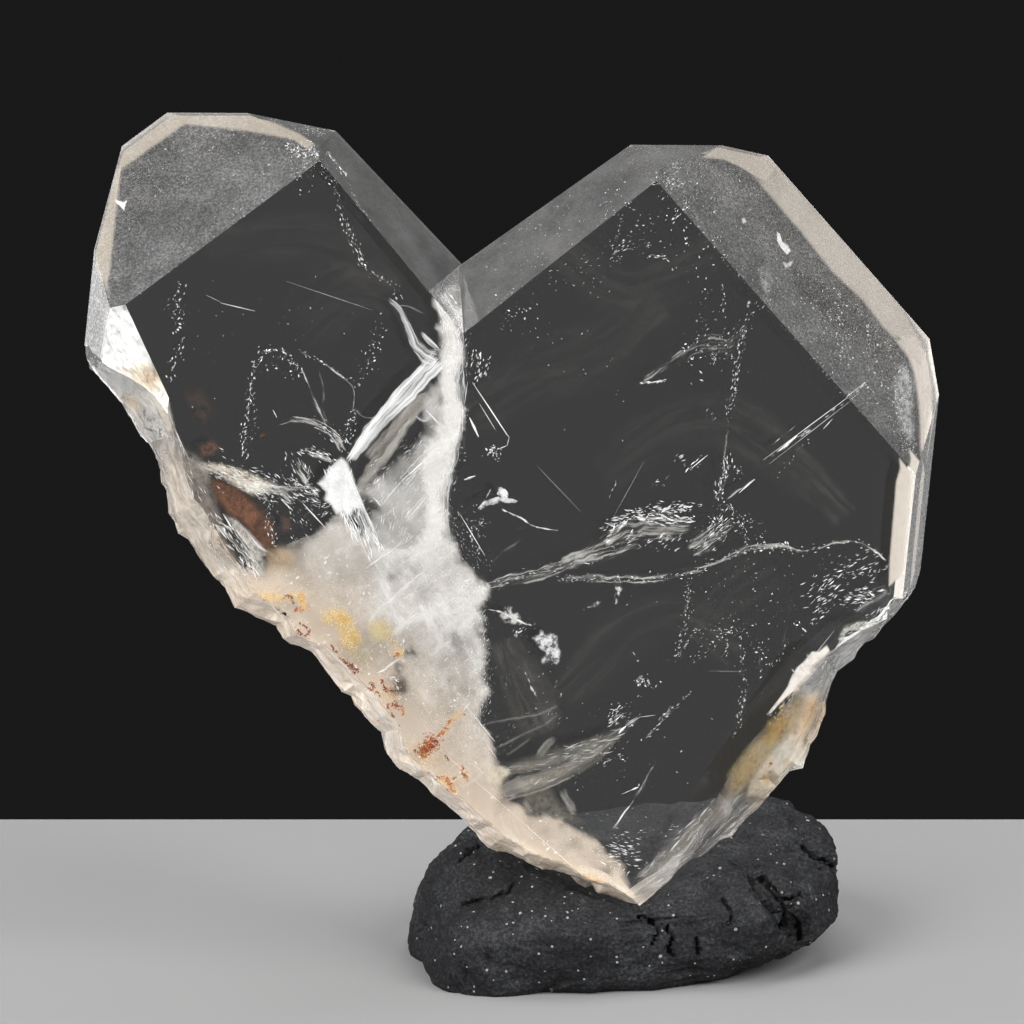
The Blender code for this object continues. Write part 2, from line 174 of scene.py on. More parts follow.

# Patches of colour: a share of the crystal's thickness, how softly the border ends, how
# dense and how mottled each one is, its colour, then its outline across and down
# The pale bands by the end ridges are painted reflection: they stand in for light that the back end faces reflect
# inside the crystal.
REFLECTION_BAND_PATCHES = (
    (0.05, 3, 1, 0.12, (0.31, 0.27, 0.215), ((91, 262), (93, 246), (101, 214), (116, 164),
     (126, 146), (148, 128), (168, 113), (248, 111), (266, 120), (300, 136), (316, 148),
     (306, 154), (293, 144), (247, 135), (187, 128), (162, 146), (124, 173), (122, 194),
     (117, 232), (113, 268), (110, 284), (112, 306), (104, 286))),
    (0.05, 2, 1, 0.1, (0.36, 0.315, 0.26), ((700, 160), (716, 151), (724, 146), (770, 158),
     (782, 170), (770, 184), (758, 178), (742, 169), (726, 162))),
    (0.55, 4, 1, 0.12, (0.38, 0.34, 0.29), ((716, 158), (722, 145), (771, 158), (786, 166),
     (804, 188), (825, 214), (842, 230), (860, 250), (893, 285), (915, 309), (926, 340),
     (908, 345), (896, 346), (884, 333), (864, 307), (833, 279), (802, 240), (771, 204),
     (741, 170))),
    (0.55, 4, 1, 0.15, (0.47, 0.42, 0.37), ((896, 346), (926, 336), (933, 360), (938, 380),
     (940, 396), (936, 416), (924, 455), (916, 476), (915, 455), (917, 430), (917, 405),
     (915, 380), (910, 364))),
    (0.55, 2, 1, 0.08, (0.56, 0.51, 0.45), ((902, 457), (917, 475), (916, 493), (909, 566),
     (907, 577), (892, 591), (893, 560), (898, 497), (899, 483), (903, 470))),
)
WHITE_PATCHES = (
    (0.25, 3, 1, 0.2, (0.86, 0.86, 0.85), ((335, 460), (341, 456), (347, 462), (352, 474),
     (356, 487), (362, 500), (364, 511), (354, 509), (350, 518), (342, 512), (335, 516),
     (329, 505), (322, 500), (324, 492), (315, 483), (321, 478), (327, 468))),
    (0.3, 2.5, 1, 1, (0.66, 0.64, 0.61), ((500, 612), (505, 606), (512, 607), (519, 614),
     (521, 622), (530, 626), (514, 625), (503, 622), (498, 616))),
    (0.3, 2.5, 1, 0.9, (0.73, 0.73, 0.73), ((530, 638), (538, 635), (541, 628), (545, 635),
     (552, 633), (557, 636), (558, 646), (561, 652), (559, 662), (556, 666), (550, 661),
     (542, 665), (540, 660), (546, 655), (538, 648), (534, 641))),
    (0.03, 0.9, 1, 0.2, (0.77, 0.76, 0.71), ((116.5, 201), (121, 203), (125, 204.5), (130, 202),
     (128, 206), (127, 210), (126, 214), (122, 209), (118, 206))),
    (0.03, 1, 1, 0.4, (0.75, 0.75, 0.75), ((779, 233), (783, 235), (785, 243), (791, 247),
     (794, 253), (789, 257), (783, 250), (779, 243))),
    (0.03, 1.4, 0.7, 0.6, (0.75, 0.75, 0.75), ((784, 263), (790, 264), (797, 261), (793, 268),
     (786, 272))),
    (0.05, 3, 0.5, 0.5, (0.46, 0.46, 0.46), ((763, 276), (768, 288), (765, 298), (760, 290))),
    (0.03, 1.2, 0.8, 0.4, (0.68, 0.68, 0.68), ((742, 220), (746, 219), (748, 224), (743, 226))),
    (0.05, 1.5, 1, 0.3, (0.79, 0.74, 0.68), ((828, 645), (819, 652), (812, 652), (805, 661),
     (797, 668), (792, 676), (787, 688), (780, 698), (771, 710), (766, 718), (772, 714),
     (784, 701), (798, 690), (812, 676), (823, 664), (831, 652))),
    (0.1, 1.2, 0.9, 0.5, (0.75, 0.73, 0.69), ((806, 654), (812, 657), (820, 655), (818, 660),
     (808, 659))),
    (0.1, 1.2, 0.9, 0.5, (0.75, 0.73, 0.69), ((791, 668), (796, 672), (803, 668), (800, 675),
     (793, 673))),
    (0.06, 2, 0.95, 0.25, (0.77, 0.76, 0.7), ((873, 633), (867, 647), (853, 657), (841, 671),
     (836, 669), (847, 652), (858, 643), (868, 632))),
    (0.06, 5, 1, 0.3, (0.86, 0.81, 0.71), ((794, 733), (808, 738), (814, 756), (807, 774),
     (786, 794), (768, 802), (748, 800), (750, 782), (764, 762), (778, 746))),
    (0.06, 2, 0.9, 0.8, (0.5, 0.49, 0.43), ((838, 641), (845, 626), (862, 621), (880, 623),
     (888, 622), (887, 630), (874, 635), (850, 632), (843, 644))),
    (0.06, 2, 0.8, 0.6, (0.46, 0.45, 0.42), ((884, 624), (886, 611), (899, 597), (906, 599),
     (894, 615), (889, 628))),
    (0.06, 2, 0.5, 0.6, (0.46, 0.47, 0.45), ((887, 590), (890, 594), (880, 602), (868, 607),
     (857, 615), (855, 611), (866, 603), (878, 598))),
    (0.05, 2, 0.6, 0.3, (0.61, 0.59, 0.56), ((108, 303), (112, 318), (111, 345), (107, 360),
     (103, 352), (105, 320))),
    (0.04, 6, 0.45, 0.9, (0.5, 0.51, 0.5), ((897, 388), (903, 368), (912, 364), (919, 380),
     (919, 430), (914, 450), (902, 436), (896, 408))),
    (0.04, 5, 0.22, 1, (0.46, 0.46, 0.46), ((756, 268), (770, 262), (775, 284), (768, 302),
     (758, 290))),
)
STAIN_PATCHES = (
    (0.06, 7, 0.7, 0.6, (0.66, 0.46, 0.15), ((318, 612), (330, 605), (346, 606), (354, 618),
     (364, 640), (354, 652), (338, 642), (332, 626), (320, 624))),
    (0.05, 5, 0.8, 0.7, (0.69, 0.39, 0.06), ((333, 611), (345, 611), (349, 620), (338, 624))),
    (0.05, 5, 0.8, 0.7, (0.56, 0.35, 0.06), ((347, 627), (357, 631), (359, 643), (350, 641))),
    (0.07, 7, 0.7, 0.4, (0.57, 0.47, 0.23), ((368, 616), (386, 617), (393, 632), (385, 644),
     (369, 642), (363, 628))),
    (0.05, 4, 0.9, 0.5, (0.59, 0.34, 0.11), ((389, 648), (401, 644), (405, 654), (396, 661))),
    (0.06, 6, 0.7, 0.7, (0.7, 0.51, 0.22), ((254, 586), (276, 589), (292, 590), (304, 590),
     (309, 606), (296, 603), (262, 602))),
    (0.05, 3, 0.8, 0.8, (0.67, 0.36, 0.07), ((296, 589), (305, 591), (308, 611), (298, 608))),
    (0.1, 7, 0.6, 0.6, (0.44, 0.3, 0.16), ((262, 546), (288, 544), (300, 558), (287, 572),
     (265, 572))),
    (0.08, 7, 0.55, 0.5, (0.37, 0.33, 0.2), ((343, 640), (364, 644), (377, 664), (362, 669),
     (346, 656))),
    (0.05, 4, 0.7, 0.8, (0.69, 0.39, 0.08), ((436, 734), (446, 722), (456, 710), (462, 704),
     (466, 712), (452, 726), (441, 738))),
    (0.05, 4, 0.6, 0.8, (0.7, 0.44, 0.14), ((434, 774), (446, 772), (456, 782), (456, 793),
     (446, 790))),
    (0.07, 5, 0.4, 0.7, (0.66, 0.46, 0.24), ((400, 756), (430, 750), (440, 756), (420, 766),
     (404, 764))),
    (0.08, 6, 0.35, 0.5, (0.66, 0.46, 0.2), ((556, 872), (590, 870), (610, 880), (600, 888),
     (570, 882))),
    (0.35, 5, 0.8, 0.6, (0.19, 0.08, 0.04), ((206, 476), (232, 481), (254, 500), (262, 518),
     (250, 530), (230, 518), (212, 498))),
    (0.4, 5, 0.8, 0.6, (0.14, 0.06, 0.03), ((244, 508), (264, 508), (275, 526), (276, 547),
     (260, 550), (244, 532))),
    (0.45, 6, 0.8, 0.4, (0.04, 0.03, 0.02), ((234, 492), (264, 496), (266, 516), (246, 512))),
    (0.4, 4, 0.6, 0.6, (0.11, 0.06, 0.04), ((278, 514), (290, 516), (292, 530), (280, 534))),
    (0.3, 5, 0.6, 0.8, (0.18, 0.08, 0.05), ((196, 446), (212, 438), (222, 446), (214, 456),
     (200, 458))),
    (0.5, 9, 0.3, 1, (0.12, 0.07, 0.04), ((178, 388), (204, 386), (214, 408), (206, 430),
     (188, 412))),
    (0.07, 5, 0.9, 0.3, (0.76, 0.57, 0.34), ((804, 690), (827, 692), (819, 724), (809, 748),
     (796, 741), (800, 716))),
    (0.05, 4, 0.8, 0.4, (0.66, 0.26, 0.07), ((812, 706), (821, 704), (820, 718), (814, 718))),
    (0.09, 6, 0.85, 0.5, (0.52, 0.42, 0.19), ((804, 690), (806, 714), (797, 738), (783, 749),
     (770, 766), (746, 792), (726, 800), (726, 776), (746, 748), (768, 724), (788, 704))),
    (0.07, 6, 0.9, 0.3, (0.60, 0.44, 0.13), ((768, 722), (783, 715), (788, 732), (777, 750),
     (764, 758), (765, 740))),
    (0.07, 6, 0.85, 0.4, (0.56, 0.45, 0.19), ((734, 770), (750, 757), (757, 772), (746, 787),
     (733, 788))),
    (0.05, 4, 0.7, 0.5, (0.72, 0.53, 0.22), ((763, 776), (775, 772), (779, 785), (768, 791))),
    (0.05, 4, 0.7, 0.5, (0.76, 0.56, 0.27), ((785, 762), (797, 760), (796, 771), (787, 773))),
    (0.09, 6, 0.5, 0.5, (0.31, 0.24, 0.21), ((720, 800), (728, 784), (742, 792), (726, 812),
     (712, 822))),
)
WALL_PATCHES = (
    (0.3, 4, 0.85, 0.7, (0.61, 0.54, 0.43), ((196, 461), (215, 461), (242, 468), (264, 478),
     (275, 485), (265, 495), (250, 496), (233, 486), (215, 475), (200, 470))),
    (0.25, 3, 0.9, 0.6, (0.77, 0.74, 0.66), ((240, 482), (262, 480), (272, 486), (262, 494),
     (246, 493))),
    (0.05, 4, 0.7, 0.3, (0.62, 0.5, 0.34), ((122, 394), (136, 391), (142, 405), (139, 420),
     (128, 409))),
    (0.05, 3, 0.8, 0.4, (0.66, 0.61, 0.52), ((150, 394), (168, 396), (172, 415), (176, 432),
     (167, 432), (158, 412))),
    (0.06, 8, 0.8, 0.4, (0.41, 0.35, 0.29), ((158, 448), (176, 446), (190, 470), (196, 500),
     (200, 530), (222, 566), (242, 598), (232, 608), (206, 574), (172, 520), (166, 490))),
    (0.09, 7, 0.7, 0.5, (0.34, 0.27, 0.2), ((196, 516), (216, 522), (236, 552), (248, 572),
     (232, 572), (212, 548))),
    (0.12, 3, 0.8, 0.6, (0.56, 0.52, 0.46), ((222, 512), (236, 518), (262, 544), (268, 556),
     (256, 556), (240, 540))),
    (0.1, 3, 0.7, 0.6, (0.52, 0.5, 0.44), ((246, 548), (262, 552), (266, 576), (252, 574))),
    (0.12, 4, 0.9, 0.5, (0.62, 0.56, 0.44), ((484, 764), (505, 764), (512, 772), (500, 784),
     (486, 788), (482, 776))),
    (0.35, 6, 0.5, 0.5, (0.19, 0.18, 0.15), ((500, 764), (560, 746), (602, 734), (640, 722),
     (612, 748), (560, 764), (520, 776))),
    (0.3, 5, 0.6, 0.5, (0.27, 0.24, 0.19), ((512, 780), (560, 766), (600, 754), (560, 782),
     (520, 796))),
    (0.2, 8, 0.4, 0.6, (0.27, 0.25, 0.19), ((515, 790), (550, 782), (560, 800), (590, 826),
     (560, 824), (524, 812))),
    (0.15, 6, 0.45, 0.6, (0.27, 0.25, 0.21), ((640, 884), (668, 850), (700, 812), (740, 784),
     (752, 790), (712, 834), (676, 872), (646, 896))),
    (0.2, 8, 0.6, 0.2, (0.53, 0.49, 0.43), ((330, 528), (345, 516), (362, 530), (384, 550),
     (366, 575), (330, 580), (300, 568), (310, 544))),
    (0.1, 8, 0.45, 0.8, (0.37, 0.33, 0.29), ((150, 425), (172, 440), (196, 452), (214, 466),
     (210, 486), (196, 480), (170, 462), (156, 444))),
    (0.3, 7, 0.65, 0.5, (0.28, 0.24, 0.21), ((168, 446), (192, 458), (206, 476), (216, 500),
     (224, 520), (212, 530), (196, 524), (180, 496), (166, 466))),
)

# Veils: a depth and a tilt in millimetres, a strength, then rows of across, down and half
# width. The seam is where the two crystals meet.
SEAM_VEILS = (
    (2.2, 0.5, 0.55, ((436, 298, 2), (441, 312, 6), (448, 328, 9), (452, 345, 12), (453, 362, 14),
     (453, 385, 13), (453, 405, 12), (452, 425, 14), (447, 445, 17), (442, 470, 16),
     (440, 495, 13), (440, 520, 13), (442, 545, 13))),
    (1.6, 0.4, 0.5, ((453, 326, 6), (456, 360, 10), (457, 395, 9), (455, 420, 9), (451, 450, 10),
     (445, 480, 9), (442, 505, 8))),
    (1.6, 0.3, 0.6, ((449, 298, 1.3), (454, 316, 1.5), (461, 336, 2), (461, 350, 1.5))),
    (1.4, 0.2, 1.2, ((419, 333, 1.5), (424, 338, 3.5), (431, 345, 3), (438, 352, 2))),
    (1.8, -0.3, 0.8, ((386, 300, 2), (397, 309, 3), (405, 325, 4), (412, 342, 6), (424, 355, 10),
     (436, 360, 12))),
    (2, 0.2, 0.5, ((392, 308, 1), (405, 307, 1.2), (425, 316, 1))),
    (1.8, 0.4, 1.2, ((438, 360, 13), (424, 374, 11), (408, 392, 10), (392, 408, 9.5),
     (376, 425, 9), (362, 443, 7.5), (350, 460, 6))),
    (1.5, 0.3, 1.2, ((424, 364, 3), (402, 386, 4), (384, 408, 4), (370, 424, 4), (357, 444, 4),
     (346, 462, 4))),
    (1, 0.2, 0.7, ((342, 470, 3), (352, 495, 6), (362, 518, 8), (372, 542, 8), (378, 556, 5))),
    (0.4, 0.2, 1, ((425, 569, 0.8), (412, 578, 1.2), (398, 591, 1.6), (384, 603, 2.6),
     (374, 613, 2.6), (366, 622, 1.4))),
    (0.4, 0.2, 0.9, ((404, 645, 2), (400, 656, 3), (390, 664, 3), (375, 673, 2))),
    (0.4, 0.2, 0.9, ((402, 534, 1), (399, 542, 1.2), (389, 551, 1.2), (376, 559, 1.2),
     (362, 570, 1))),
    (2.2, 0.4, 0.5, ((440, 402, 5), (424, 420, 3), (412, 412, 2))),
    (2.2, 0.4, 0.6, ((436, 444, 4), (416, 462, 3), (398, 482, 3))),
    (2.2, 0.4, 0.5, ((430, 455, 5), (412, 478, 6), (398, 500, 5))),
    (2.6, 0.4, 0.5, ((432, 488, 4), (418, 506, 5), (404, 524, 5))),
    (0.8, 0.2, 0.9, ((213, 530, 1), (220, 540, 1.5), (229, 556, 1.5), (240, 568, 1.5),
     (252, 575, 1))),
    (0.8, 0.2, 0.8, ((228, 516, 1.5), (244, 528, 3), (258, 545, 3), (270, 552, 1.5))),
    (0.8, 0.2, 0.8, ((240, 542, 1.5), (252, 556, 2), (263, 573, 1.5))),
    (0.8, 0.2, 0.7, ((157, 398, 1.5), (170, 420, 1.5), (182, 446, 1.5), (190, 462, 1))),
    (0.4, 0.1, 0.7, ((344, 463, 1.5), (350, 480, 2.2), (358, 500, 2.6), (366, 520, 3),
     (374, 538, 2.4))),
    (0.4, 0.1, 0.6, ((352, 494, 1.5), (362, 520, 2), (372, 545, 1.5))),
    (0.5, 0.1, 0.5, ((330, 516, 1.5), (345, 519, 2), (352, 524, 1))),
    (0.5, 0.1, 0.5, ((444, 536, 1.5), (450, 543, 1.5))),
)
CRACK_VEILS = (
    (2.2, 0.6, 0.8, ((485, 587, 4), (505, 581, 7), (530, 576, 8), (555, 569, 9), (580, 560, 10),
     (605, 552, 9), (640, 543, 8))),
    (2.6, 0.5, 0.8, ((555, 581, 3), (590, 579, 5), (620, 579, 6), (650, 580, 5), (680, 574, 4),
     (705, 570, 3))),
    (2.2, 0.8, 1, ((604, 545, 5), (620, 533, 10), (645, 528, 14), (668, 528, 15), (690, 530, 9))),
    (2.4, 0.6, 0.8, ((560, 561, 3), (585, 553, 7), (600, 545, 8), (612, 538, 6))),
    (2.4, 0.8, 0.85, ((690, 552, 8), (703, 543, 13), (718, 533, 11), (735, 522, 4))),
    (3, 0.6, 0.9, ((700, 569, 3), (722, 561, 3), (745, 551, 4), (765, 548, 4), (785, 548, 4),
     (803, 553, 3), (818, 550, 3), (838, 544, 2.5), (860, 544, 2.5), (878, 552, 3),
     (890, 562, 3))),
    (2.8, 0.5, 0.5, ((740, 519, 2), (744, 530, 2), (750, 545, 3))),
    (1.6, 0.6, 1, ((208, 466, 4), (225, 474, 8), (243, 482, 9), (262, 487, 7), (285, 490, 5),
     (302, 491, 6), (318, 491, 6))),
    (1.8, 0.6, 0.8, ((262, 478, 4), (280, 492, 6), (292, 505, 4))),
    (2, 0.6, 0.9, ((214, 518, 5), (230, 533, 9), (244, 549, 10), (258, 568, 7))),
    (2, 0.5, 0.7, ((292, 458, 4), (300, 470, 8), (308, 482, 7))),
    (2, 0.4, 0.9, ((303, 450, 3), (318, 456, 4), (332, 461, 4))),
    (2.6, 0.5, 0.7, ((276, 424, 3), (290, 420, 4), (306, 422, 5), (322, 428, 6), (334, 438, 6),
     (344, 452, 4))),
    (3, 0.6, 0.45, ((640, 383, 2), (690, 352, 9), (712, 345, 12), (733, 342, 9), (747, 322, 4))),
    (3, 0.5, 0.5, ((718, 500, 4), (724, 480, 4), (724, 460, 3), (727, 440, 2), (730, 420, 2))),
    (3, 0.5, 0.9, ((726, 500, 2), (740, 490, 3), (756, 480, 2))),
    (2.8, 0.4, 0.35, ((796, 578, 1.5), (794, 600, 2), (790, 625, 2), (783, 650, 2),
     (772, 668, 2))),
    (2.8, 0.5, 0.35, ((690, 582, 1.5), (688, 610, 2), (683, 640, 2), (681, 662, 3))),
    (2.8, 0.5, 0.3, ((762, 640, 2), (761, 665, 2), (761, 682, 2), (750, 690, 2), (744, 712, 2),
     (741, 740, 2))),
    (2.8, 0.5, 0.25, ((681, 672, 1.5), (712, 673, 1.5), (745, 673, 2), (768, 668, 1.5))),
    (2.4, 0.4, 0.9, ((658, 762, 1.5), (645, 783, 2.5), (634, 801, 1.5), (621, 820, 1.5),
     (612, 833, 3))),
    (2.2, 0.4, 0.5, ((497, 534, 2), (512, 529, 2), (530, 528, 1.5))),
    (2.6, 0.4, 0.35, ((490, 567, 2), (505, 552, 3), (522, 540, 2))),
    (1.8, 0.4, 0.7, ((310, 540, 2), (300, 525, 2), (308, 510, 2))),
    (2.4, 0.4, 0.6, ((300, 368, 1.5), (309, 390, 2), (318, 408, 3), (328, 428, 3))),
    (2.4, 0.4, 0.5, ((317, 368, 2), (322, 388, 1.5), (323, 408, 2))),
    (2.4, 0.4, 0.8, ((297, 352, 2), (320, 362, 2), (335, 374, 2), (350, 386, 2), (353, 400, 1.5),
     (351, 414, 2))),
    (2.4, 0.4, 0.9, ((352, 409, 1.5), (364, 417, 2), (380, 417, 1.5))),
    (2.4, 0.4, 0.5, ((384, 303, 1.5), (396, 308, 1.5), (412, 311, 1.5), (424, 316, 1.5))),
    (2.4, 0.4, 0.4, ((392, 310, 2), (406, 326, 3), (415, 340, 3))),
)
TUFT_VEILS = (
    (1.8, 0.4, 0.9, ((482, 608, 1.2), (492, 610, 1.5), (500, 612, 2), (520, 622, 2),
     (534, 626, 1.2))),
    (2, 0.4, 0.45, ((614, 574, 5), (617, 585, 8), (616, 595, 6), (613, 612, 2))),
    (2, 0.2, 0.3, ((580, 613, 4), (597, 604, 4), (600, 590, 2))),
    (2, 0.3, 0.6, ((518, 657, 2), (523, 668, 2.5), (529, 683, 2), (537, 700, 3))),
    (2, 0.3, 0.5, ((508, 663, 1.5), (506, 680, 1.5), (505, 697, 2.5))),
    (2, 0.3, 0.6, ((562, 690, 2), (560, 702, 3))),
    (2, 0.3, 0.35, ((631, 648, 2), (639, 664, 2), (641, 678, 4), (634, 690, 2))),
    (2, 0.3, 0.4, ((640, 683, 4), (655, 685, 2))),
    (2, 0.3, 0.4, ((660, 660, 2), (668, 662, 4), (680, 655, 3), (690, 640, 3))),
    (1.6, 0.4, 0.95, ((499, 508, 1.5), (508, 513, 2.5), (520, 518, 2.5), (530, 525, 1.8),
     (545, 529, 1.3), (562, 531, 1))),
    (1.6, 0.4, 0.9, ((474, 512, 1.5), (484, 504, 4), (495, 501, 5), (507, 501, 4),
     (518, 502, 1.5))),
    (1.4, 0.3, 0.95, ((494, 488, 3), (501, 493, 6), (507, 498, 4))),
    (1.6, 0.3, 0.8, ((484, 500, 1.5), (488, 492, 2), (491, 485, 2))),
    (1.8, 0.3, 1, ((747, 297, 2), (748, 304, 3), (747, 310, 2))),
    (2.2, 0.4, 0.5, ((762, 464, 2.5), (790, 446, 2.5), (820, 424, 2.5), (850, 400, 2),
     (868, 384, 2))),
    (2.1, 0.2, 1, ((781, 451, 2.2), (789, 444, 2.8), (797, 436, 2.2))),
    (2.4, 0.3, 0.5, ((766, 452, 1), (780, 440, 1), (800, 424, 1))),
    (0.3, 0.1, 0.8, ((888, 342, 0.8), (890, 337, 0.8), (895, 337, 0.8), (897, 342, 0.8),
     (893, 347, 0.8), (889, 344, 0.8))),
    (2.4, 0.4, 0.5, ((762, 463, 1.5), (790, 444, 2), (820, 422, 2), (867, 384, 1))),
)
BLADE_VEILS = (
    (3, 0.5, 1, ((428, 396, 6), (414, 408, 9), (401, 424, 10), (391, 442, 9), (380, 458, 8),
     (368, 474, 7), (354, 494, 4))),
    (3.4, 0.5, 0.35, ((400, 420, 4), (382, 440, 6), (366, 458, 5))),
    (1.4, 0.8, 0.6, ((496, 793, 8), (520, 785, 10), (550, 776, 10), (580, 766, 8), (602, 752, 6),
     (622, 733, 2))),
    (2, 0.8, 0.6, ((500, 772, 5), (525, 768, 7), (555, 763, 6), (585, 757, 7), (600, 745, 6))),
    (1.2, 0.2, 0.7, ((505, 800, 2), (540, 790, 2), (572, 777, 1.5))),
    (2.4, 0.5, 0.5, ((538, 758, 4), (545, 748, 5), (555, 738, 4))),
    (2, 0.5, 0.4, ((484, 724, 2), (505, 720, 2), (540, 714, 2), (558, 705, 3))),
    (2, 0.5, 0.4, ((496, 748, 2), (520, 736, 2), (545, 724, 2), (562, 712, 3))),
    (2, 0.5, 0.4, ((506, 756, 2), (518, 748, 2), (530, 738, 2))),
    (2.6, 0.4, 0.4, ((570, 766, 4), (588, 748, 8), (604, 738, 5))),
    (1.8, 0.4, 0.4, ((562, 790, 4), (568, 802, 5), (575, 815, 4))),
    (1.8, 0.4, 0.6, ((524, 800, 3), (528, 808, 4), (532, 816, 3))),
    (2.4, 0.8, 0.1, ((500, 640, 18), (515, 675, 28), (530, 705, 30), (545, 735, 22))),
    (3, 0.8, 0.04, ((700, 640, 30), (730, 600, 40), (780, 570, 40))),
    (3.2, 0.8, 0.04, ((300, 330, 40), (350, 290, 40), (400, 300, 20))),
    # The next three blades, along the left broken wall, are painted highlights: bright lines in place of light caught
    # on its edges.
    (3, 0.5, 0.5, ((186, 458, 3), (196, 470, 8), (206, 488, 9), (212, 506, 7))),
    (2.4, 0.5, 0.6, ((158, 398, 2), (168, 420, 4), (177, 440, 4), (184, 458, 3))),
    (2.6, 0.5, 0.5, ((176, 500, 5), (196, 530, 9), (220, 565, 9), (235, 585, 6))),
    (1.6, 0.5, 0.5, ((285, 548, 5), (305, 541, 6), (325, 533, 6), (342, 524, 4))),
    (2.2, 0.5, 0.4, ((640, 880, 6), (665, 862, 9), (690, 838, 11), (715, 812, 10), (735, 790, 8))),
    (1.8, 0.4, 0.7, ((668, 858, 2), (684, 838, 2.5), (700, 820, 2))),
    (1.8, 0.4, 0.7, ((722, 808, 2), (735, 795, 2.5), (748, 783, 2))),
    (2.6, 1.2, 0.07, ((470, 420, 24), (530, 380, 36), (600, 350, 40), (660, 300, 30))),
    (3.4, 1, 0.06, ((560, 250, 20), (620, 290, 30), (690, 270, 30), (740, 230, 16))),
    (3, 1.2, 0.05, ((200, 250, 20), (270, 240, 34), (340, 250, 30), (390, 290, 16))),
    (3.2, 1, 0.06, ((600, 480, 20), (650, 440, 34), (720, 420, 34), (800, 470, 30),
     (850, 520, 16))),
    (2.8, 1, 0.06, ((560, 700, 20), (620, 640, 34), (680, 620, 30), (740, 660, 16))),
)

# Rust, as grains along short crooked lines near the surface: points across and down, how
# far the grains spread, and how dark they are
RUST_MARKS = (
    (((282, 596), (287, 594), (290, 596), (292, 602)), 0.9, 0.9), (((293, 609), (297, 608), (301, 609)), 1.3, 0.4),
    (((299, 622), (303, 624), (306, 627)), 0.8, 1.0), (((297, 628), (301, 633), (305, 634), (309, 629)), 1.3, 1.0),
    (((295, 641), (303, 645), (309, 646)), 0.8, 1.0), (((299, 644), (304, 649), (306, 650)), 0.8, 0.9),
    (((321, 649), (326, 653), (331, 654)), 0.8, 1.0), (((330, 644), (333, 649), (336, 650)), 0.8, 0.9),
    (((337, 657), (343, 660), (347, 663)), 1.2, 1.0), (((345, 662), (350, 667), (353, 671)), 2.2, 0.7),
    (((349, 664), (354, 667), (357, 669)), 1.4, 1.0), (((366, 688), (370, 689), (373, 686)), 1.1, 0.9),
    (((374, 691), (377, 692), (378, 695)), 1.1, 1.0), (((367, 680), (370, 682), (372, 684)), 0.9, 0.8),
    (((381, 679), (383, 686), (386, 690)), 1.1, 0.9), (((384, 687), (388, 689), (391, 689)), 0.9, 0.8),
    (((368, 698), (371, 697), (374, 699)), 1.0, 0.9), (((392, 702), (395, 705), (399, 704)), 2.2, 0.8),
    (((400, 706), (402, 710), (401, 713)), 1.2, 0.4), (((379, 720), (383, 722), (386, 727)), 1.0, 0.9),
    (((385, 727), (389, 728), (391, 724), (395, 724), (397, 727)), 1.3, 0.9),
    (((390, 712), (392, 716), (393, 719)), 0.8, 0.8), (((386, 702), (387, 706), (389, 708)), 0.8, 0.8),
    (((417, 749), (422, 751), (427, 745)), 3.2, 0.8), (((424, 745), (430, 738), (435, 742)), 4.0, 0.5),
    (((418, 750), (424, 747), (432, 740)), 3.4, 0.4),
    (((428, 746), (433, 746), (437, 744)), 2.4, 0.6), (((420, 753), (424, 756), (427, 753)), 1.2, 0.4),
    (((436, 736), (441, 731), (446, 727)), 1.3, 0.3), (((444, 726), (447, 722), (451, 719)), 1.1, 0.3),
    (((437, 777), (441, 777)), 0.9, 0.6), (((444, 776), (447, 780), (450, 785)), 1.5, 0.4),
    (((447, 787), (451, 789), (454, 790)), 1.3, 0.5), (((452, 777), (455, 776)), 1.0, 0.8),
    (((460, 771), (463, 774), (466, 777)), 1.2, 0.7), (((461, 765), (462, 769)), 0.8, 0.5),
    (((445, 755), (447, 759)), 0.8, 0.5), (((394, 654), (397, 653)), 1.4, 0.6), (((412, 757), (414, 760)), 0.8, 0.6),
    (((412, 765), (415, 768)), 0.8, 0.5), (((325, 666), (327, 668)), 0.8, 0.8), (((262, 600), (263, 598)), 0.9, 0.8),
    (((267, 605), (268, 604)), 0.9, 0.8), (((461, 713), (463, 712)), 0.9, 0.5), (((260, 436), (262, 434)), 0.9, 0.8),
    (((815, 708), (818, 712)), 1.6, 0.2),
    (((774, 765), (776, 767)), 0.9, 0.6), (((784, 732), (786, 735)), 0.9, 0.9), (((797, 733), (799, 735)), 0.9, 0.6),
)

# Finer amber grains among the yellow stains: path, spread and how dark
AMBER_GRAINS = (
    (((254, 594), (262, 598), (272, 590), (278, 596)), 5.0, 0.3),
    (((290, 594), (300, 598), (305, 608)), 4.0, 0.4), (((322, 616), (336, 614), (346, 622), (352, 636)), 6.0, 0.1),
    (((342, 640), (352, 652)), 5.0, 0.2), (((384, 622), (392, 640), (396, 652)), 5.0, 0.1),
    (((444, 724), (452, 712)), 3.0, 0.2), (((436, 776), (450, 784), (456, 792)), 4.5, 0.5),
    (((420, 748), (432, 758)), 8.0, 0.3),
    (((458, 768), (466, 778)), 4.0, 0.5), (((380, 684), (392, 704)), 8.0, 0.6), (((560, 872), (600, 880)), 4.0, 0.0),
    (((780, 720), (792, 706)), 6.0, 0.2),
    (((770, 762), (776, 768)), 5.0, 0.2),
)

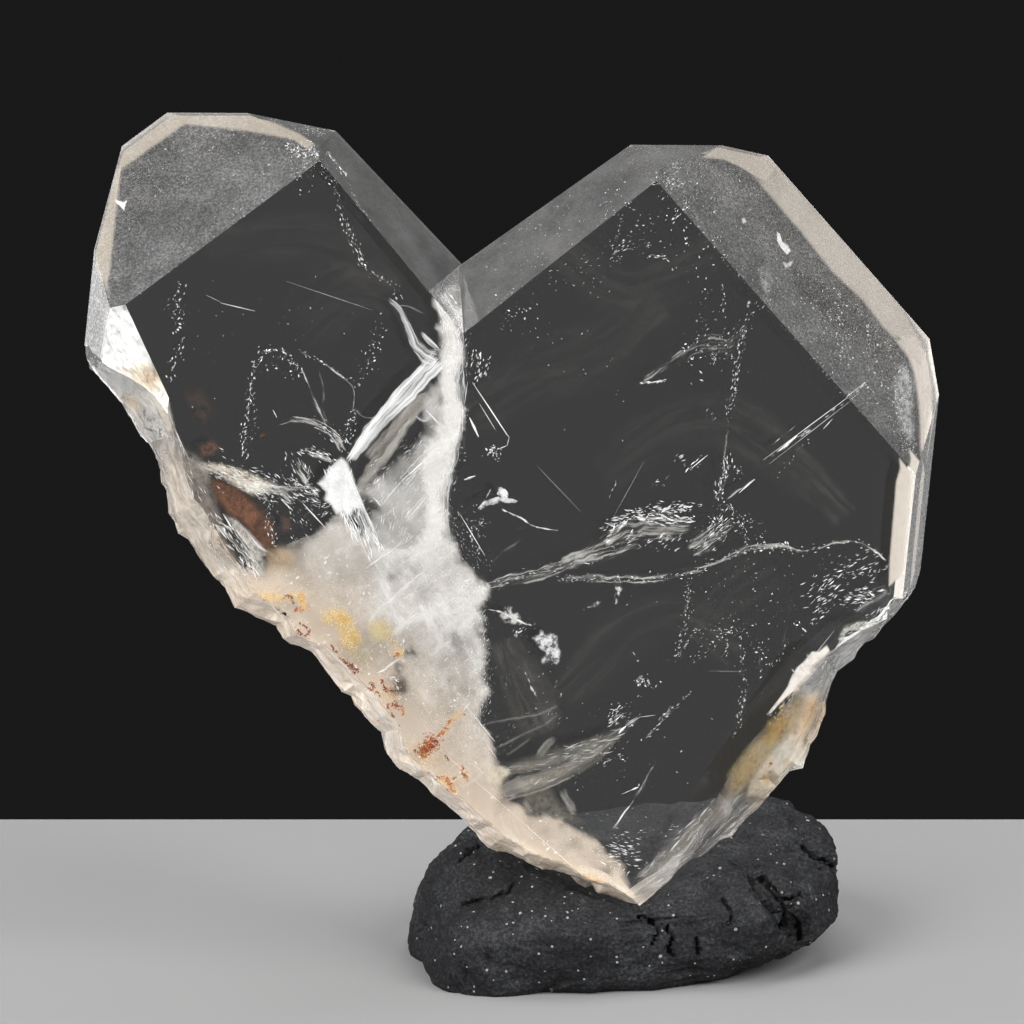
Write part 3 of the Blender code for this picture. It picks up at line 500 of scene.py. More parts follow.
# Bright slivers along paths of across and down: their depth, how far they spread, how
# many to a step, their greatest length, and their heading in degrees or None for along
# the path
SLIVERS = (
    (((181, 282), (178, 300), (178, 320), (180, 345), (170, 380)), 2.7, 3, 0.7, 4, None),
    (((172, 298), (178, 316)), 2.3, 5, 1.2, 5, 50),
    (((245, 457), (243, 438), (247, 415), (249, 392), (254, 366), (266, 350)), 2.3, 2, 1, 5, None),
    (((249, 450), (253, 420), (253, 395)), 2.2, 3, 0.5, 4, 55),
    (((266, 350), (280, 350), (290, 361), (302, 378)), 2.7, 2, 0.7, 5, None),
    (((266, 362), (280, 370), (292, 366)), 2.6, 7, 1, 3.5, None),
    (((298, 352), (322, 363), (350, 386)), 2.5, 1.5, 0.5, 4, None),
    (((354, 384), (364, 366), (372, 350), (384, 322)), 2.6, 6, 0.9, 3.5, None),
    (((352, 412), (349, 430), (344, 446)), 2.3, 3.5, 1.1, 4, None),
    (((316, 424), (332, 434), (344, 444)), 2.4, 4, 1.6, 6, -40),
    (((300, 450), (318, 454), (334, 460)), 2, 3, 1.6, 8, -25),
    (((292, 458), (300, 472), (310, 482)), 2, 6, 1.4, 9, -62),
    (((212, 468), (240, 478), (266, 488)), 1.6, 6, 1.6, 8, -15),
    (((272, 480), (296, 492), (318, 496)), 1.7, 7, 1.6, 7, -35),
    (((284, 500), (300, 520), (314, 530)), 1.8, 8, 0.9, 7, -48),
    (((267, 492), (268, 515), (274, 545)), 1.8, 2.4, 1.4, 4, None),
    (((320, 505), (330, 512)), 1.8, 5, 2, 7, 30),
    (((318, 160), (334, 192), (341, 222), (358, 252), (366, 272), (388, 284), (398, 300)), 2.7, 2,
     0.7, 4, None),
    (((340, 224), (352, 246), (362, 268)), 2.8, 3.5, 0.8, 5, -55),
    (((498, 332), (512, 318), (532, 304)), 2.7, 6, 0.7, 3.5, None),
    (((540, 290), (560, 276), (590, 260)), 3, 7, 0.5, 4, 35),
    (((612, 262), (620, 250), (630, 243)), 3, 4, 1.6, 5, 35),
    (((590, 290), (602, 282)), 3, 5, 0.8, 3, None),
    (((646, 259), (656, 257), (666, 260)), 3, 1, 1, 6, None),
    (((620, 222), (618, 236)), 3, 1.5, 0.6, 5, None),
    (((672, 224), (677, 213)), 3, 1.5, 1.4, 6, None),
    (((676, 196), (690, 225), (696, 300)), 3, 12, 0.25, 4, None),
    (((463, 338), (469, 356), (466, 380)), 2, 4, 0.9, 6, 78),
    (((476, 350), (478, 370), (476, 384)), 2.2, 2, 1, 6, None),
    (((486, 358), (483, 376)), 2.4, 2, 0.8, 5, None),
    (((487, 452), (494, 450), (493, 460)), 2, 3, 2.4, 4, None),
    (((461, 400), (458, 420), (466, 416)), 2, 3, 0.9, 4, None),
    (((456, 452), (466, 458)), 2, 3, 0.9, 4, None),
    (((452, 505), (462, 535), (478, 565)), 2, 7, 2.2, 3.5, -55),
    (((470, 515), (476, 530), (484, 550)), 2, 6, 1.2, 3.5, None),
    (((474, 520), (485, 528)), 2, 3, 1.5, 4, 30),
    (((608, 534), (630, 520), (656, 515), (690, 508)), 2, 2, 0.8, 9, None),
    (((606, 548), (640, 538), (680, 540)), 2.2, 7, 1, 9, 40),
    (((640, 522), (690, 520)), 1.8, 2.5, 1.2, 12, 2),
    (((694, 552), (712, 540), (728, 528)), 2.2, 6, 1.8, 7, 45),
    (((722, 502), (716, 520), (706, 530)), 2.6, 8, 0.8, 4, None),
    (((728, 505), (742, 525), (750, 546)), 2.6, 2, 1, 4, None),
    (((744, 520), (758, 528), (764, 545)), 2.6, 4, 0.9, 3, None),
    (((746, 552), (766, 549), (786, 549), (804, 554)), 2.8, 3, 1, 5, None),
    (((806, 553), (836, 545), (864, 545), (888, 562)), 2.8, 1.6, 0.5, 4, None),
    (((826, 556), (860, 560), (884, 566)), 2.8, 9, 0.6, 4.5, 22),
    (((812, 590), (826, 580), (836, 588)), 2.8, 6, 0.8, 9, 43),
    (((824, 604), (836, 596)), 2.8, 3, 0.8, 9, 36),
    (((812, 622), (824, 612), (836, 606)), 2.8, 4, 1.1, 7, 40),
    (((846, 570), (862, 565)), 2.8, 5, 0.5, 6, 25),
    (((860, 584), (868, 594), (858, 603)), 2.8, 4, 0.9, 8, 4),
    (((844, 602), (868, 602)), 2.8, 3, 1.2, 8, 2),
    (((740, 570), (760, 575), (790, 570)), 2.8, 10, 0.3, 3.5, None),
    (((722, 590), (735, 610), (745, 590)), 2.8, 9, 0.25, 3.5, 80),
    (((720, 640), (730, 634), (738, 636)), 2.8, 2.5, 1.2, 4, None),
    (((729, 640), (727, 652), (724, 661)), 2.8, 1.2, 0.6, 4, None),
    (((710, 643), (716, 646)), 2.8, 2, 1.2, 4, None),
    (((692, 662), (712, 651)), 2.8, 2, 0.5, 4, None),
    (((756, 642), (764, 655), (762, 672)), 2.8, 5, 0.7, 4, None),
    (((768, 668), (780, 662), (790, 640)), 2.8, 1.5, 0.4, 3.5, None),
    (((758, 606), (775, 612), (790, 618)), 2.8, 6, 0.3, 4, 30),
    (((800, 620), (806, 632)), 2.8, 5, 0.8, 4, None),
    (((688, 596), (690, 612), (684, 640)), 2.8, 2.5, 0.4, 4, None),
    (((722, 286), (724, 300), (723, 318)), 2.8, 1, 0.7, 4, None),
    (((690, 354), (712, 350), (736, 340)), 2.8, 8, 0.6, 4, None),
    (((714, 352), (714, 366)), 2.8, 1.5, 1.4, 4, None),
    (((728, 356), (734, 358)), 2.8, 2.5, 2, 4, None),
    (((747, 318), (738, 350), (736, 392), (728, 415)), 2.8, 1.6, 0.4, 4, None),
    (((694, 315), (700, 380), (690, 352)), 2.8, 6, 0.12, 5, None),
    (((708, 412), (714, 416)), 2.8, 3, 1.4, 5, 55),
    (((678, 455), (690, 470), (706, 458)), 2.8, 2, 0.5, 8, 40),
    (((730, 467), (740, 470), (736, 480)), 2.8, 4, 0.9, 4, None),
    (((720, 500), (724, 478), (725, 458)), 2.8, 2.5, 1.2, 7, None),
    (((650, 484), (664, 482), (670, 472)), 2.8, 2, 0.5, 6, 40),
    (((778, 480), (800, 452), (815, 438)), 2.8, 3, 0.3, 3, None),
    (((608, 838), (640, 842)), 1.8, 5, 0.9, 6, 5),
    (((600, 856), (640, 858)), 1.6, 6, 1.4, 9, 0),
    (((614, 848), (630, 854)), 1.6, 3, 1.6, 8, -20),
    (((604, 872), (622, 862)), 1.6, 6, 0.9, 6, 60),
    (((566, 836), (592, 846), (600, 856)), 1.6, 3, 0.6, 7, 12),
    (((672, 827), (678, 828)), 2.4, 2.5, 1.8, 5, 20),
    (((640, 828), (650, 834)), 2.4, 3, 0.9, 5, -15),
    (((604, 766), (610, 760)), 2.2, 1.5, 1, 7, 35),
    (((574, 758), (582, 756)), 2.2, 2, 1, 4, 40),
    (((610, 720), (620, 710)), 2.2, 3, 1.3, 7, 40),
    (((660, 722), (674, 708)), 2.4, 1.2, 0.8, 7, 43),
    (((648, 738), (656, 730)), 2.4, 0.8, 0.8, 6, 43),
    (((600, 740), (640, 745), (680, 770)), 2.2, 22, 0.35, 3.5, None),
    (((520, 640), (560, 690), (600, 800)), 2.2, 26, 0.1, 3, None),
    (((620, 756), (626, 760)), 2.2, 2, 1.4, 3, None),
    (((515, 636), (521, 627)), 2, 1, 1.2, 5, None),
    (((640, 383), (655, 383), (667, 381)), 2.8, 0.6, 0.9, 8, None),
    (((620, 480), (609, 497)), 2.8, 1, 0.3, 6, 75),
    (((386, 676), (396, 678)), 0.6, 1.5, 1.6, 7, 0),
    (((452, 700), (446, 708)), 0.8, 3, 1.4, 4, None),
    (((396, 620), (410, 632)), 0.7, 4, 0.6, 4, None),
    (((300, 540), (296, 538)), 1.6, 2.5, 1.5, 4, None),
    (((300, 168), (312, 180), (290, 150)), 1, 8, 1.2, 3.5, None),
    (((676, 178), (664, 196)), 1, 5, 2.2, 5, 45),
    (((700, 170), (760, 178), (740, 195)), 1, 9, 0.35, 4, 80),
    (((735, 345), (742, 330), (760, 300)), 2.4, 4, 0.5, 6, 60),
    (((461, 268), (462, 300), (462, 334)), 1.3, 0.6, 1, 4, 90),
    (((424, 252), (428, 262), (434, 268)), 2, 2.5, 1.6, 5, 90),
    (((438, 256), (444, 276), (450, 300), (454, 314)), 2, 1.5, 0.6, 8, None),
    (((320, 163), (330, 173), (338, 182)), 2.4, 0.8, 1.2, 7, None),
    (((556, 578), (600, 580), (650, 580), (700, 570), (740, 552)), 2.4, 2, 0.9, 3.5, None),
    (((496, 584), (540, 572), (600, 556)), 2.2, 3, 0.7, 6, 14),
    (((690, 575), (688, 610), (682, 640), (676, 658)), 2.8, 2.5, 1, 3, None),
    (((680, 645), (710, 632), (745, 628)), 2.8, 5, 0.8, 4, 30),
    (((647, 738), (670, 715), (694, 690)), 2.4, 0.7, 0.6, 5, 43),
    (((634, 681), (646, 684), (658, 686)), 2.4, 3, 1.2, 4, None),
    (((612, 726), (622, 708)), 2.4, 3, 1.6, 8, 42),
    (((560, 775), (600, 760), (640, 700)), 2.2, 8, 0.6, 4, 40),
    (((742, 640), (746, 690), (738, 740)), 2.8, 2, 0.7, 4, None),
    (((480, 610), (484, 650), (488, 690), (480, 730)), 0.6, 3, 1.4, 4, 70),
    (((600, 530), (640, 512), (700, 508)), 2, 3, 1, 10, 8),
    (((700, 545), (716, 528), (724, 510)), 2.4, 3, 1.2, 6, 60),
    (((600, 262), (630, 240), (660, 230)), 3, 12, 0.7, 4, 40),
    (((600, 200), (650, 220), (690, 260)), 3, 14, 0.5, 3.5, None),
    (((700, 300), (715, 340), (735, 360)), 2.8, 11, 0.7, 4, 60),
    (((728, 420), (735, 380), (745, 330)), 2.8, 2, 1, 5, 80),
    (((815, 600), (850, 575), (890, 566)), 2.8, 9, 0.9, 9, 30),
    (((850, 600), (880, 596)), 2.8, 5, 1, 10, 5),
    (((640, 560), (700, 590), (780, 640)), 2.8, 30, 0.5, 3, None),
    (((500, 300), (560, 330), (600, 420)), 2.8, 30, 0.3, 3, None),
    (((200, 340), (260, 330), (340, 330)), 2.6, 30, 0.3, 3, None),
)
# Flecks scattered over areas: outline, how many, least and greatest share of the
# thickness, greatest length, heading in degrees or None for any, and cover
LEFT_END = (
    (120, 302), (112, 270), (118, 240), (122, 192), (146, 158), (170, 139), (211, 129), (252, 134),
    (300, 148), (316, 158), (310, 168), (130, 304),
)
RIGHT_END = (
    (664, 184), (684, 164), (740, 168), (770, 205), (820, 262), (880, 325), (912, 360), (917, 400),
    (918, 440), (920, 468), (900, 456), (840, 395), (760, 306), (700, 240),
)
FLECK_AREAS = (
    (LEFT_END, 900, 0.01, 0.05, 2.4, None, 0.24),
    (LEFT_END, 56, 0.01, 0.05, 3.4, None, 0.45),
    (RIGHT_END, 1300, 0.01, 0.05, 2.6, None, 0.24),
    (RIGHT_END, 76, 0.01, 0.05, 3.6, None, 0.45),
    (((684, 164), (730, 166), (764, 196), (700, 236), (668, 186)), 160, 0.01, 0.05, 4.5, 75, 0.45),
    (((800, 270), (850, 296), (900, 350), (914, 420), (880, 400), (800, 320)), 260, 0.01, 0.05,
     3.6, None, 0.5),
    (((898, 355), (917, 372), (917, 460), (902, 450), (896, 400)), 240, 0.01, 0.05, 2.4, None,
     0.6),
    (((290, 140), (316, 146), (318, 160), (296, 160), (284, 150)), 110, 0.01, 0.05, 3.2, None,
     0.8),
    (((660, 172), (676, 160), (684, 160), (672, 186), (664, 190)), 90, 0.01, 0.05, 4, 60, 0.85),
    (((648, 180), (662, 176), (664, 186), (650, 188)), 26, 0.01, 0.05, 4, 5, 0.8),
    (((252, 119), (335, 132), (318, 143), (290, 138)), 160, 0.1, 0.5, 2.6, None, 0.5),
    (((625, 147), (720, 148), (690, 158), (650, 160)), 160, 0.1, 0.5, 3, 10, 0.4),
    (((104, 300), (109, 290), (120, 304), (112, 345), (98, 352), (92, 320), (98, 260)), 140, 0.02,
     0.2, 2, None, 0.5),
    (((930, 402), (938, 402), (922, 570), (908, 575), (916, 480)), 150, 0.02, 0.2, 2, None, 0.4),
    (((438, 300), (462, 322), (462, 440), (446, 540), (430, 560), (440, 400)), 170, 0.08, 0.3, 8,
     84, 0.7),
    (((400, 440), (440, 440), (440, 540), (480, 590), (470, 720), (420, 700), (400, 560)), 260,
     0.06, 0.3, 9, 42, 0.5),
    (((400, 500), (450, 540), (480, 600), (470, 740), (430, 740), (360, 600)), 260, 0.06, 0.3, 7,
     -35, 0.45),
    (((240, 600), (340, 540), (440, 700), (500, 800), (600, 850), (600, 880), (440, 790),
     (300, 640)), 380, 0.04, 0.2, 6, None, 0.4),
    (((452, 560), (488, 590), (484, 640), (486, 700), (476, 740), (464, 700), (470, 640)), 260,
     0.02, 0.1, 4.5, 80, 0.7),
    (((352, 500), (380, 440), (430, 400), (440, 480), (436, 560), (380, 550)), 150, 0.08, 0.3, 8,
     48, 0.5),
    (((372, 470), (412, 470), (410, 540), (372, 540)), 70, 0.08, 0.3, 12, 86, 0.5),
    (((336, 505), (352, 505), (386, 552), (370, 560), (345, 530)), 150, 0.06, 0.2, 14, -62, 0.8),
    (((322, 470), (350, 458), (352, 505), (330, 505)), 90, 0.06, 0.2, 10, -70, 0.8),
    (((205, 508), (232, 520), (262, 574), (236, 584), (210, 540)), 150, 0.06, 0.3, 14, -52, 0.8),
    (((212, 462), (250, 468), (320, 486), (318, 506), (262, 500), (214, 476)), 190, 0.2, 0.35, 9,
     -18, 0.8),
    (((156, 396), (184, 452), (210, 500), (196, 520), (176, 470), (160, 430)), 90, 0.05, 0.3, 12,
     -64, 0.5),
    (((490, 596), (560, 640), (560, 800), (500, 790), (490, 700)), 130, 0.2, 0.5, 5, 60, 0.3),
    (((500, 768), (600, 736), (640, 716), (610, 752), (510, 800)), 110, 0.15, 0.4, 18, 20, 0.25),
    (((640, 880), (700, 812), (748, 780), (742, 800), (660, 886)), 90, 0.1, 0.4, 18, 48, 0.35),
    (((770, 715), (828, 646), (836, 650), (800, 700), (774, 724)), 70, 0.05, 0.3, 10, 50, 0.8),
    (((836, 640), (862, 620), (905, 596), (915, 575), (900, 600), (870, 632), (846, 652)), 90,
     0.05, 0.4, 12, 42, 0.7),
    (((464, 270), (560, 200), (640, 160), (640, 180), (500, 290), (466, 320)), 150, 0.01, 0.1, 3,
     None, 0.35),
    (((330, 150), (345, 150), (455, 262), (455, 300), (420, 270)), 90, 0.01, 0.1, 3, -50, 0.3),
)
# Straight needles: both ends across and down, depth and radius
NEEDLES = (
    (((347, 470), (378, 545)), 1.3, 0.8),
    (((352, 497), (372, 548)), 1.3, 0.7),
    (((344, 505), (361, 540)), 1.3, 0.7),
    (((352, 522), (367, 558)), 1.1, 0.6),
    (((380, 505), (400, 481)), 1.2, 0.6),
    (((400, 481), (437, 449)), 1.2, 1),
    (((404, 522), (432, 489)), 1.2, 0.6),
    (((372, 497), (380, 506)), 1.2, 1.2),
    (((424, 410), (443, 430)), 1.4, 1.5),
    (((468, 418), (477, 437)), 1.7, 2.2),
    (((463, 480), (474, 476)), 1.7, 2),
    (((471, 383), (508, 438)), 1.9, 0.8),
    (((473, 386), (506, 436)), 2.1, 0.5),
    (((478, 404), (494, 430)), 2, 0.5),
    (((508, 438), (506, 446)), 2.2, 0.5),
    (((506, 446), (496, 450)), 2.2, 0.5),
    (((466, 383), (463, 404)), 1.8, 0.6),
    (((461, 404), (461, 432)), 1.5, 0.5),
    (((692, 469), (708, 456)), 2.7, 0.9),
    (((740, 494), (756, 480)), 2.7, 1.1),
    (((825, 430), (834, 420)), 2.7, 0.6),
    (((462, 702), (494, 741)), 1, 1),
    (((486, 744), (496, 758)), 1.1, 0.6),
    (((458, 513), (484, 556)), 1.4, 0.6),
    (((302, 503), (324, 527)), 1.5, 1.2),
    (((280, 499), (292, 510)), 1.5, 1),
    (((220, 304), (254, 312)), 1.7, 0.8),
    (((284, 282), (371, 311)), 2.6, 0.25),
    (((205, 296), (220, 303)), 1.6, 0.3),
    (((272, 410), (276, 418)), 2.2, 0.6),
    (((626, 727), (640, 718)), 1.9, 0.6),
    (((640, 718), (656, 716)), 2.1, 0.5),
    (((619, 734), (626, 727)), 1.8, 2.2),
    (((632, 791), (639, 788)), 1.8, 1.8),
    (((622, 795), (634, 790)), 1.8, 0.5),
    (((218, 536), (231, 556)), 1.6, 0.6),
    (((231, 556), (246, 572)), 1.6, 0.6),
    (((216, 520), (238, 532)), 1.6, 0.5),
    (((238, 532), (252, 552)), 1.6, 0.5),
    (((198, 464), (219, 474)), 1.6, 0.6),
    (((157, 396), (170, 420)), 1.4, 0.7),
    (((170, 420), (184, 450)), 1.8, 0.6),
    (((836, 632), (768, 716)), 1.7, 0.5),
    (((844, 640), (822, 676)), 2.1, 0.6),
    (((644, 462), (612, 520)), 2.7, 0.15),
    (((536, 466), (580, 512)), 2.5, 0.2),
    (((764, 461), (866, 386)), 2.4, 0.6),
    (((770, 465), (856, 399)), 2.5, 0.35),
    (((780, 452), (798, 437)), 2.3, 2.2),
)


def face_normal(side, turn, rise):
    """Normal of a crystal face at this turn about the long axis, in the plate's frame."""
    half = TWIN_ANGLE / 2
    along = Vector((side * math.sin(half), 0.0, math.cos(half)))
    outward = Vector((side * math.cos(half), 0.0, -math.sin(half)))
    radial = Vector((0.0, -1.0, 0.0)) * math.cos(turn) + outward * math.sin(turn)
    return radial * math.cos(rise) + along * math.sin(rise)


def seen(across, down, depth):
    """Place in the plate, in metres, of a point that is seen at a depth in millimetres."""
    flat = SEEN_ORIGIN + SEEN_ACROSS * across + SEEN_DOWN * down + SEEN_DEPTH * depth
    return Vector((flat.x, depth, flat.y)) * MM


def steps_to(point):
    """Steps across and down at which a place in the plate is seen."""
    flat = Vector((point.x, point.z)) / MM - SEEN_ORIGIN - SEEN_DEPTH * (point.y / MM)
    both = SEEN_ACROSS.x * SEEN_DOWN.y - SEEN_ACROSS.y * SEEN_DOWN.x
    across = (flat.x * SEEN_DOWN.y - flat.y * SEEN_DOWN.x) / both
    down = (flat.y * SEEN_ACROSS.x - flat.x * SEEN_ACROSS.y) / both
    return across, down


def link(name, mesh):
    """Link a mesh as a piece of the part."""
    piece = bpy.data.objects.new(name, mesh)
    bpy.context.collection.objects.link(piece)
    return piece


def shader_nodes(name):
    """A new material: its node tree and its Principled shader."""
    material = bpy.data.materials.new(name)
    material.use_nodes = True
    tree = material.node_tree
    return material, tree, tree.nodes["Principled BSDF"]


def plate_noise(tree, scale, detail=4.0, roughness=0.6, turn=0.0, drawn=(1.0, 1.0, 1.0)):
    """Noise in the plate's directions, in cells a metre: turned about the view's line,
    then drawn out along its own axes by these factors."""
    place = tree.nodes.new("ShaderNodeTexCoord")
    squash = tree.nodes.new("ShaderNodeMapping")
    squash.vector_type = "TEXTURE"
    along = PLATE_LEAN.to_matrix() @ Matrix.Rotation(math.radians(turn), 3, "Y")
    squash.inputs["Rotation"].default_value = along.to_euler()
    squash.inputs["Scale"].default_value = drawn
    texture = tree.nodes.new("ShaderNodeTexNoise")
    texture.inputs["Scale"].default_value = scale
    texture.inputs["Detail"].default_value = detail
    texture.inputs["Roughness"].default_value = roughness
    tree.links.new(place.outputs["Object"], squash.inputs["Vector"])
    tree.links.new(squash.outputs["Vector"], texture.inputs["Vector"])
    return texture.outputs["Fac"]


def noise_value(tree, scale, detail=4.0, roughness=0.6):
    """Noise over the piece's own coordinates; the scale is in cells a metre."""
    place = tree.nodes.new("ShaderNodeTexCoord")
    texture = tree.nodes.new("ShaderNodeTexNoise")
    texture.inputs["Scale"].default_value = scale
    texture.inputs["Detail"].default_value = detail
    texture.inputs["Roughness"].default_value = roughness
    tree.links.new(place.outputs["Object"], texture.inputs["Vector"])
    return texture.outputs["Fac"]


def cell_value(tree, scale, drawn):
    """One random number for each cell of a cracked pattern, in the plate's directions."""
    place = tree.nodes.new("ShaderNodeTexCoord")
    squash = tree.nodes.new("ShaderNodeMapping")
    squash.vector_type = "TEXTURE"
    squash.inputs["Rotation"].default_value = PLATE_LEAN
    squash.inputs["Scale"].default_value = drawn
    cells = tree.nodes.new("ShaderNodeTexVoronoi")
    cells.inputs["Scale"].default_value = scale
    chosen = tree.nodes.new("ShaderNodeSeparateColor")
    tree.links.new(place.outputs["Object"], squash.inputs["Vector"])
    tree.links.new(squash.outputs["Vector"], cells.inputs["Vector"])
    tree.links.new(cells.outputs["Color"], chosen.inputs["Color"])
    return chosen.outputs["Red"]


def attribute(tree, name, output="Fac"):
    """Value that the mesh carries at each point."""
    node = tree.nodes.new("ShaderNodeAttribute")
    node.attribute_name = name
    return node.outputs[output]


def math_node(tree, operation, first, second):
    """Arithmetic on two values; either may be a plain number."""
    node = tree.nodes.new("ShaderNodeMath")
    node.operation = operation
    for socket, value in zip(node.inputs, (first, second)):
        if isinstance(value, (int, float)):
            socket.default_value = value
        else:
            tree.links.new(value, socket)
    return node.outputs["Value"]


def streaks(tree, lengthwise, crosswise, detail=5.0, roughness=0.6):
    """Noise drawn out along a veil: cells a millimetre along it and across it."""
    along = math_node(tree, "MULTIPLY", attribute(tree, "along"), lengthwise)
    across = math_node(tree, "MULTIPLY", attribute(tree, "across"), crosswise)
    both = tree.nodes.new("ShaderNodeCombineXYZ")
    tree.links.new(along, both.inputs["X"])
    tree.links.new(across, both.inputs["Y"])
    texture = tree.nodes.new("ShaderNodeTexNoise")
    texture.inputs["Scale"].default_value = 1.0
    texture.inputs["Detail"].default_value = detail
    texture.inputs["Roughness"].default_value = roughness
    texture.inputs["Distortion"].default_value = 0.5
    tree.links.new(both.outputs["Vector"], texture.inputs["Vector"])
    return texture.outputs["Fac"]


def ramp(tree, value, stops):
    """Colours by value: stops are pairs of a place and a colour."""
    node = tree.nodes.new("ShaderNodeValToRGB")
    elements = node.color_ramp.elements
    while len(elements) < len(stops):
        elements.new(0.5)
    for element, (place, colour) in zip(elements, stops):
        element.position = place
        element.color = (*colour, 1.0)
    tree.links.new(value, node.inputs["Fac"])
    return node.outputs["Color"]


def product(tree, first, second):
    """Two colours multiplied."""
    node = tree.nodes.new("ShaderNodeMix")
    node.data_type = "RGBA"
    node.blend_type = "MULTIPLY"
    node.inputs["Factor"].default_value = 1.0
    tree.links.new(first, node.inputs["A"])
    tree.links.new(second, node.inputs["B"])
    return node.outputs["Result"]


def stretch(tree, value, low, high, start, end):
    """Map a value from one range to another, clamped."""
    node = tree.nodes.new("ShaderNodeMapRange")
    for name, number in (("From Min", low), ("From Max", high), ("To Min", start), ("To Max", end)):
        node.inputs[name].default_value = number
    tree.links.new(value, node.inputs["Value"])
    return node.outputs["Result"]


def bump(tree, shader, value, strength, distance):
    """Raise a surface slightly by a value."""
    node = tree.nodes.new("ShaderNodeBump")
    node.inputs["Strength"].default_value = strength
    node.inputs["Distance"].default_value = distance
    tree.links.new(value, node.inputs["Height"])
    tree.links.new(node.outputs["Normal"], shader.inputs["Normal"])


def clear_quartz():
    """Smooth growth faces, polished a little unevenly."""
    material, tree, shader = shader_nodes("clear_quartz")
    shader.inputs["Base Color"].default_value = (1.0, 1.0, 1.0, 1.0)
    shader.inputs["IOR"].default_value = QUARTZ_IOR
    shader.inputs["Transmission Weight"].default_value = 1.0
    uneven = noise_value(tree, 150.0, 5.0, 0.6)
    tree.links.new(stretch(tree, uneven, 0.35, 0.70, 0.0, 0.02), shader.inputs["Roughness"])
    return material


def frosted_quartz(name, haze, grain, roughness, colour=(0.97, 0.96, 0.95)):
    """Growth faces with fine etching: least and most haze, and how strong the grain is."""
    material, tree, shader = shader_nodes(name)
    shader.inputs["IOR"].default_value = QUARTZ_IOR
    fine = noise_value(tree, 7000.0, 2.0, 0.6)
    patches = noise_value(tree, 300.0, 5.0, 0.7)
    cover = stretch(tree, patches, 0.35, 0.70, *haze)
    pits = math_node(tree, "MULTIPLY", stretch(tree, fine, 0.40, 0.68, 1.0 - grain, 1.0 + grain), cover)
    clear = math_node(tree, "SUBTRACT", 1.0, pits)
    tree.links.new(clear, shader.inputs["Transmission Weight"])
    shader.inputs["Base Color"].default_value = (*colour, 1.0)
    tree.links.new(stretch(tree, patches, 0.3, 0.7, *roughness), shader.inputs["Roughness"])
    return material


def pale_quartz():
    """End faces at the back, evenly frosted and given a pale colour: painted reflection, standing in for the light
    these faces reflect inside the crystal, so that they show pale through it.
    """
    material, tree, shader = shader_nodes("pale_quartz")
    shader.inputs["IOR"].default_value = QUARTZ_IOR
    patches = noise_value(tree, 260.0, 4.0, 0.6)
    # Pale colour: painted reflection, in place of light reflected inside the crystal.
    stops = ((0.3, (0.84, 0.77, 0.69)), (0.7, (0.92, 0.88, 0.83)))
    tree.links.new(ramp(tree, patches, stops), shader.inputs["Base Color"])
    fine = noise_value(tree, 4000.0, 3.0, 0.6)
    tree.links.new(stretch(tree, fine, 0.35, 0.65, 0.22, 0.10), shader.inputs["Transmission Weight"])
    shader.inputs["Roughness"].default_value = 0.45
    return material


def white_break():
    """The bright flake at the left shoulder, with a tan stain at its lower end."""
    material, tree, shader = shader_nodes("white_break")
    shader.inputs["IOR"].default_value = QUARTZ_IOR
    grain = noise_value(tree, 900.0, 6.0, 0.7)
    stain = math_node(tree, "MULTIPLY", attribute(tree, "tan"), stretch(tree, grain, 0.40, 0.58, 0.5, 1.0))
    stops = ((0.0, (0.90, 0.90, 0.88)), (0.35, (0.76, 0.68, 0.56)), (1.0, (0.50, 0.34, 0.19)))
    marks = plate_noise(tree, 2600.0, 3.0, 0.6, 62.0, (4.0, 1.0, 1.0))
    shades = ramp(tree, marks, ((0.34, (0.50, 0.50, 0.49)), (0.42, (0.86, 0.86, 0.85)), (0.60, (1.0, 1.0, 1.0))))
    tree.links.new(product(tree, ramp(tree, stain, stops), shades), shader.inputs["Base Color"])
    tree.links.new(stretch(tree, grain, 0.35, 0.70, 0.0, 0.35), shader.inputs["Transmission Weight"])
    shader.inputs["Roughness"].default_value = 0.4
    bump(tree, shader, grain, 0.6, 0.12 * MM)
    return material


def broken_quartz():
    """Broken wall: clear, milky, cream or amber, as the mesh says, with streaks along it."""
    material, tree, shader = shader_nodes("broken_quartz")
    shader.inputs["IOR"].default_value = QUARTZ_IOR
    wide = noise_value(tree, 520.0, 6.0, 0.7)
    lines = streaks(tree, 0.35, 2.6, 6.0, 0.65)
    both = math_node(tree, "ADD", math_node(tree, "MULTIPLY", wide, 0.35), math_node(tree, "MULTIPLY", lines, 0.65))
    shade = ramp(tree, both, ((0.35, (0.88, 0.85, 0.82)), (0.55, (1.0, 1.0, 1.0))))
    tree.links.new(product(tree, attribute(tree, "tint", "Color"), shade), shader.inputs["Base Color"])
    cover = math_node(tree, "MULTIPLY", attribute(tree, "milk"), stretch(tree, both, 0.36, 0.62, 0.35, 1.35))
    clear = tree.nodes.new("ShaderNodeMath")
    clear.operation = "SUBTRACT"
    clear.use_clamp = True
    clear.inputs[0].default_value = 1.0
    tree.links.new(cover, clear.inputs[1])
    tree.links.new(clear.outputs["Value"], shader.inputs["Transmission Weight"])
    shader.inputs["Roughness"].default_value = 0.18
    bump(tree, shader, lines, 0.5, 0.12 * MM)
    return material


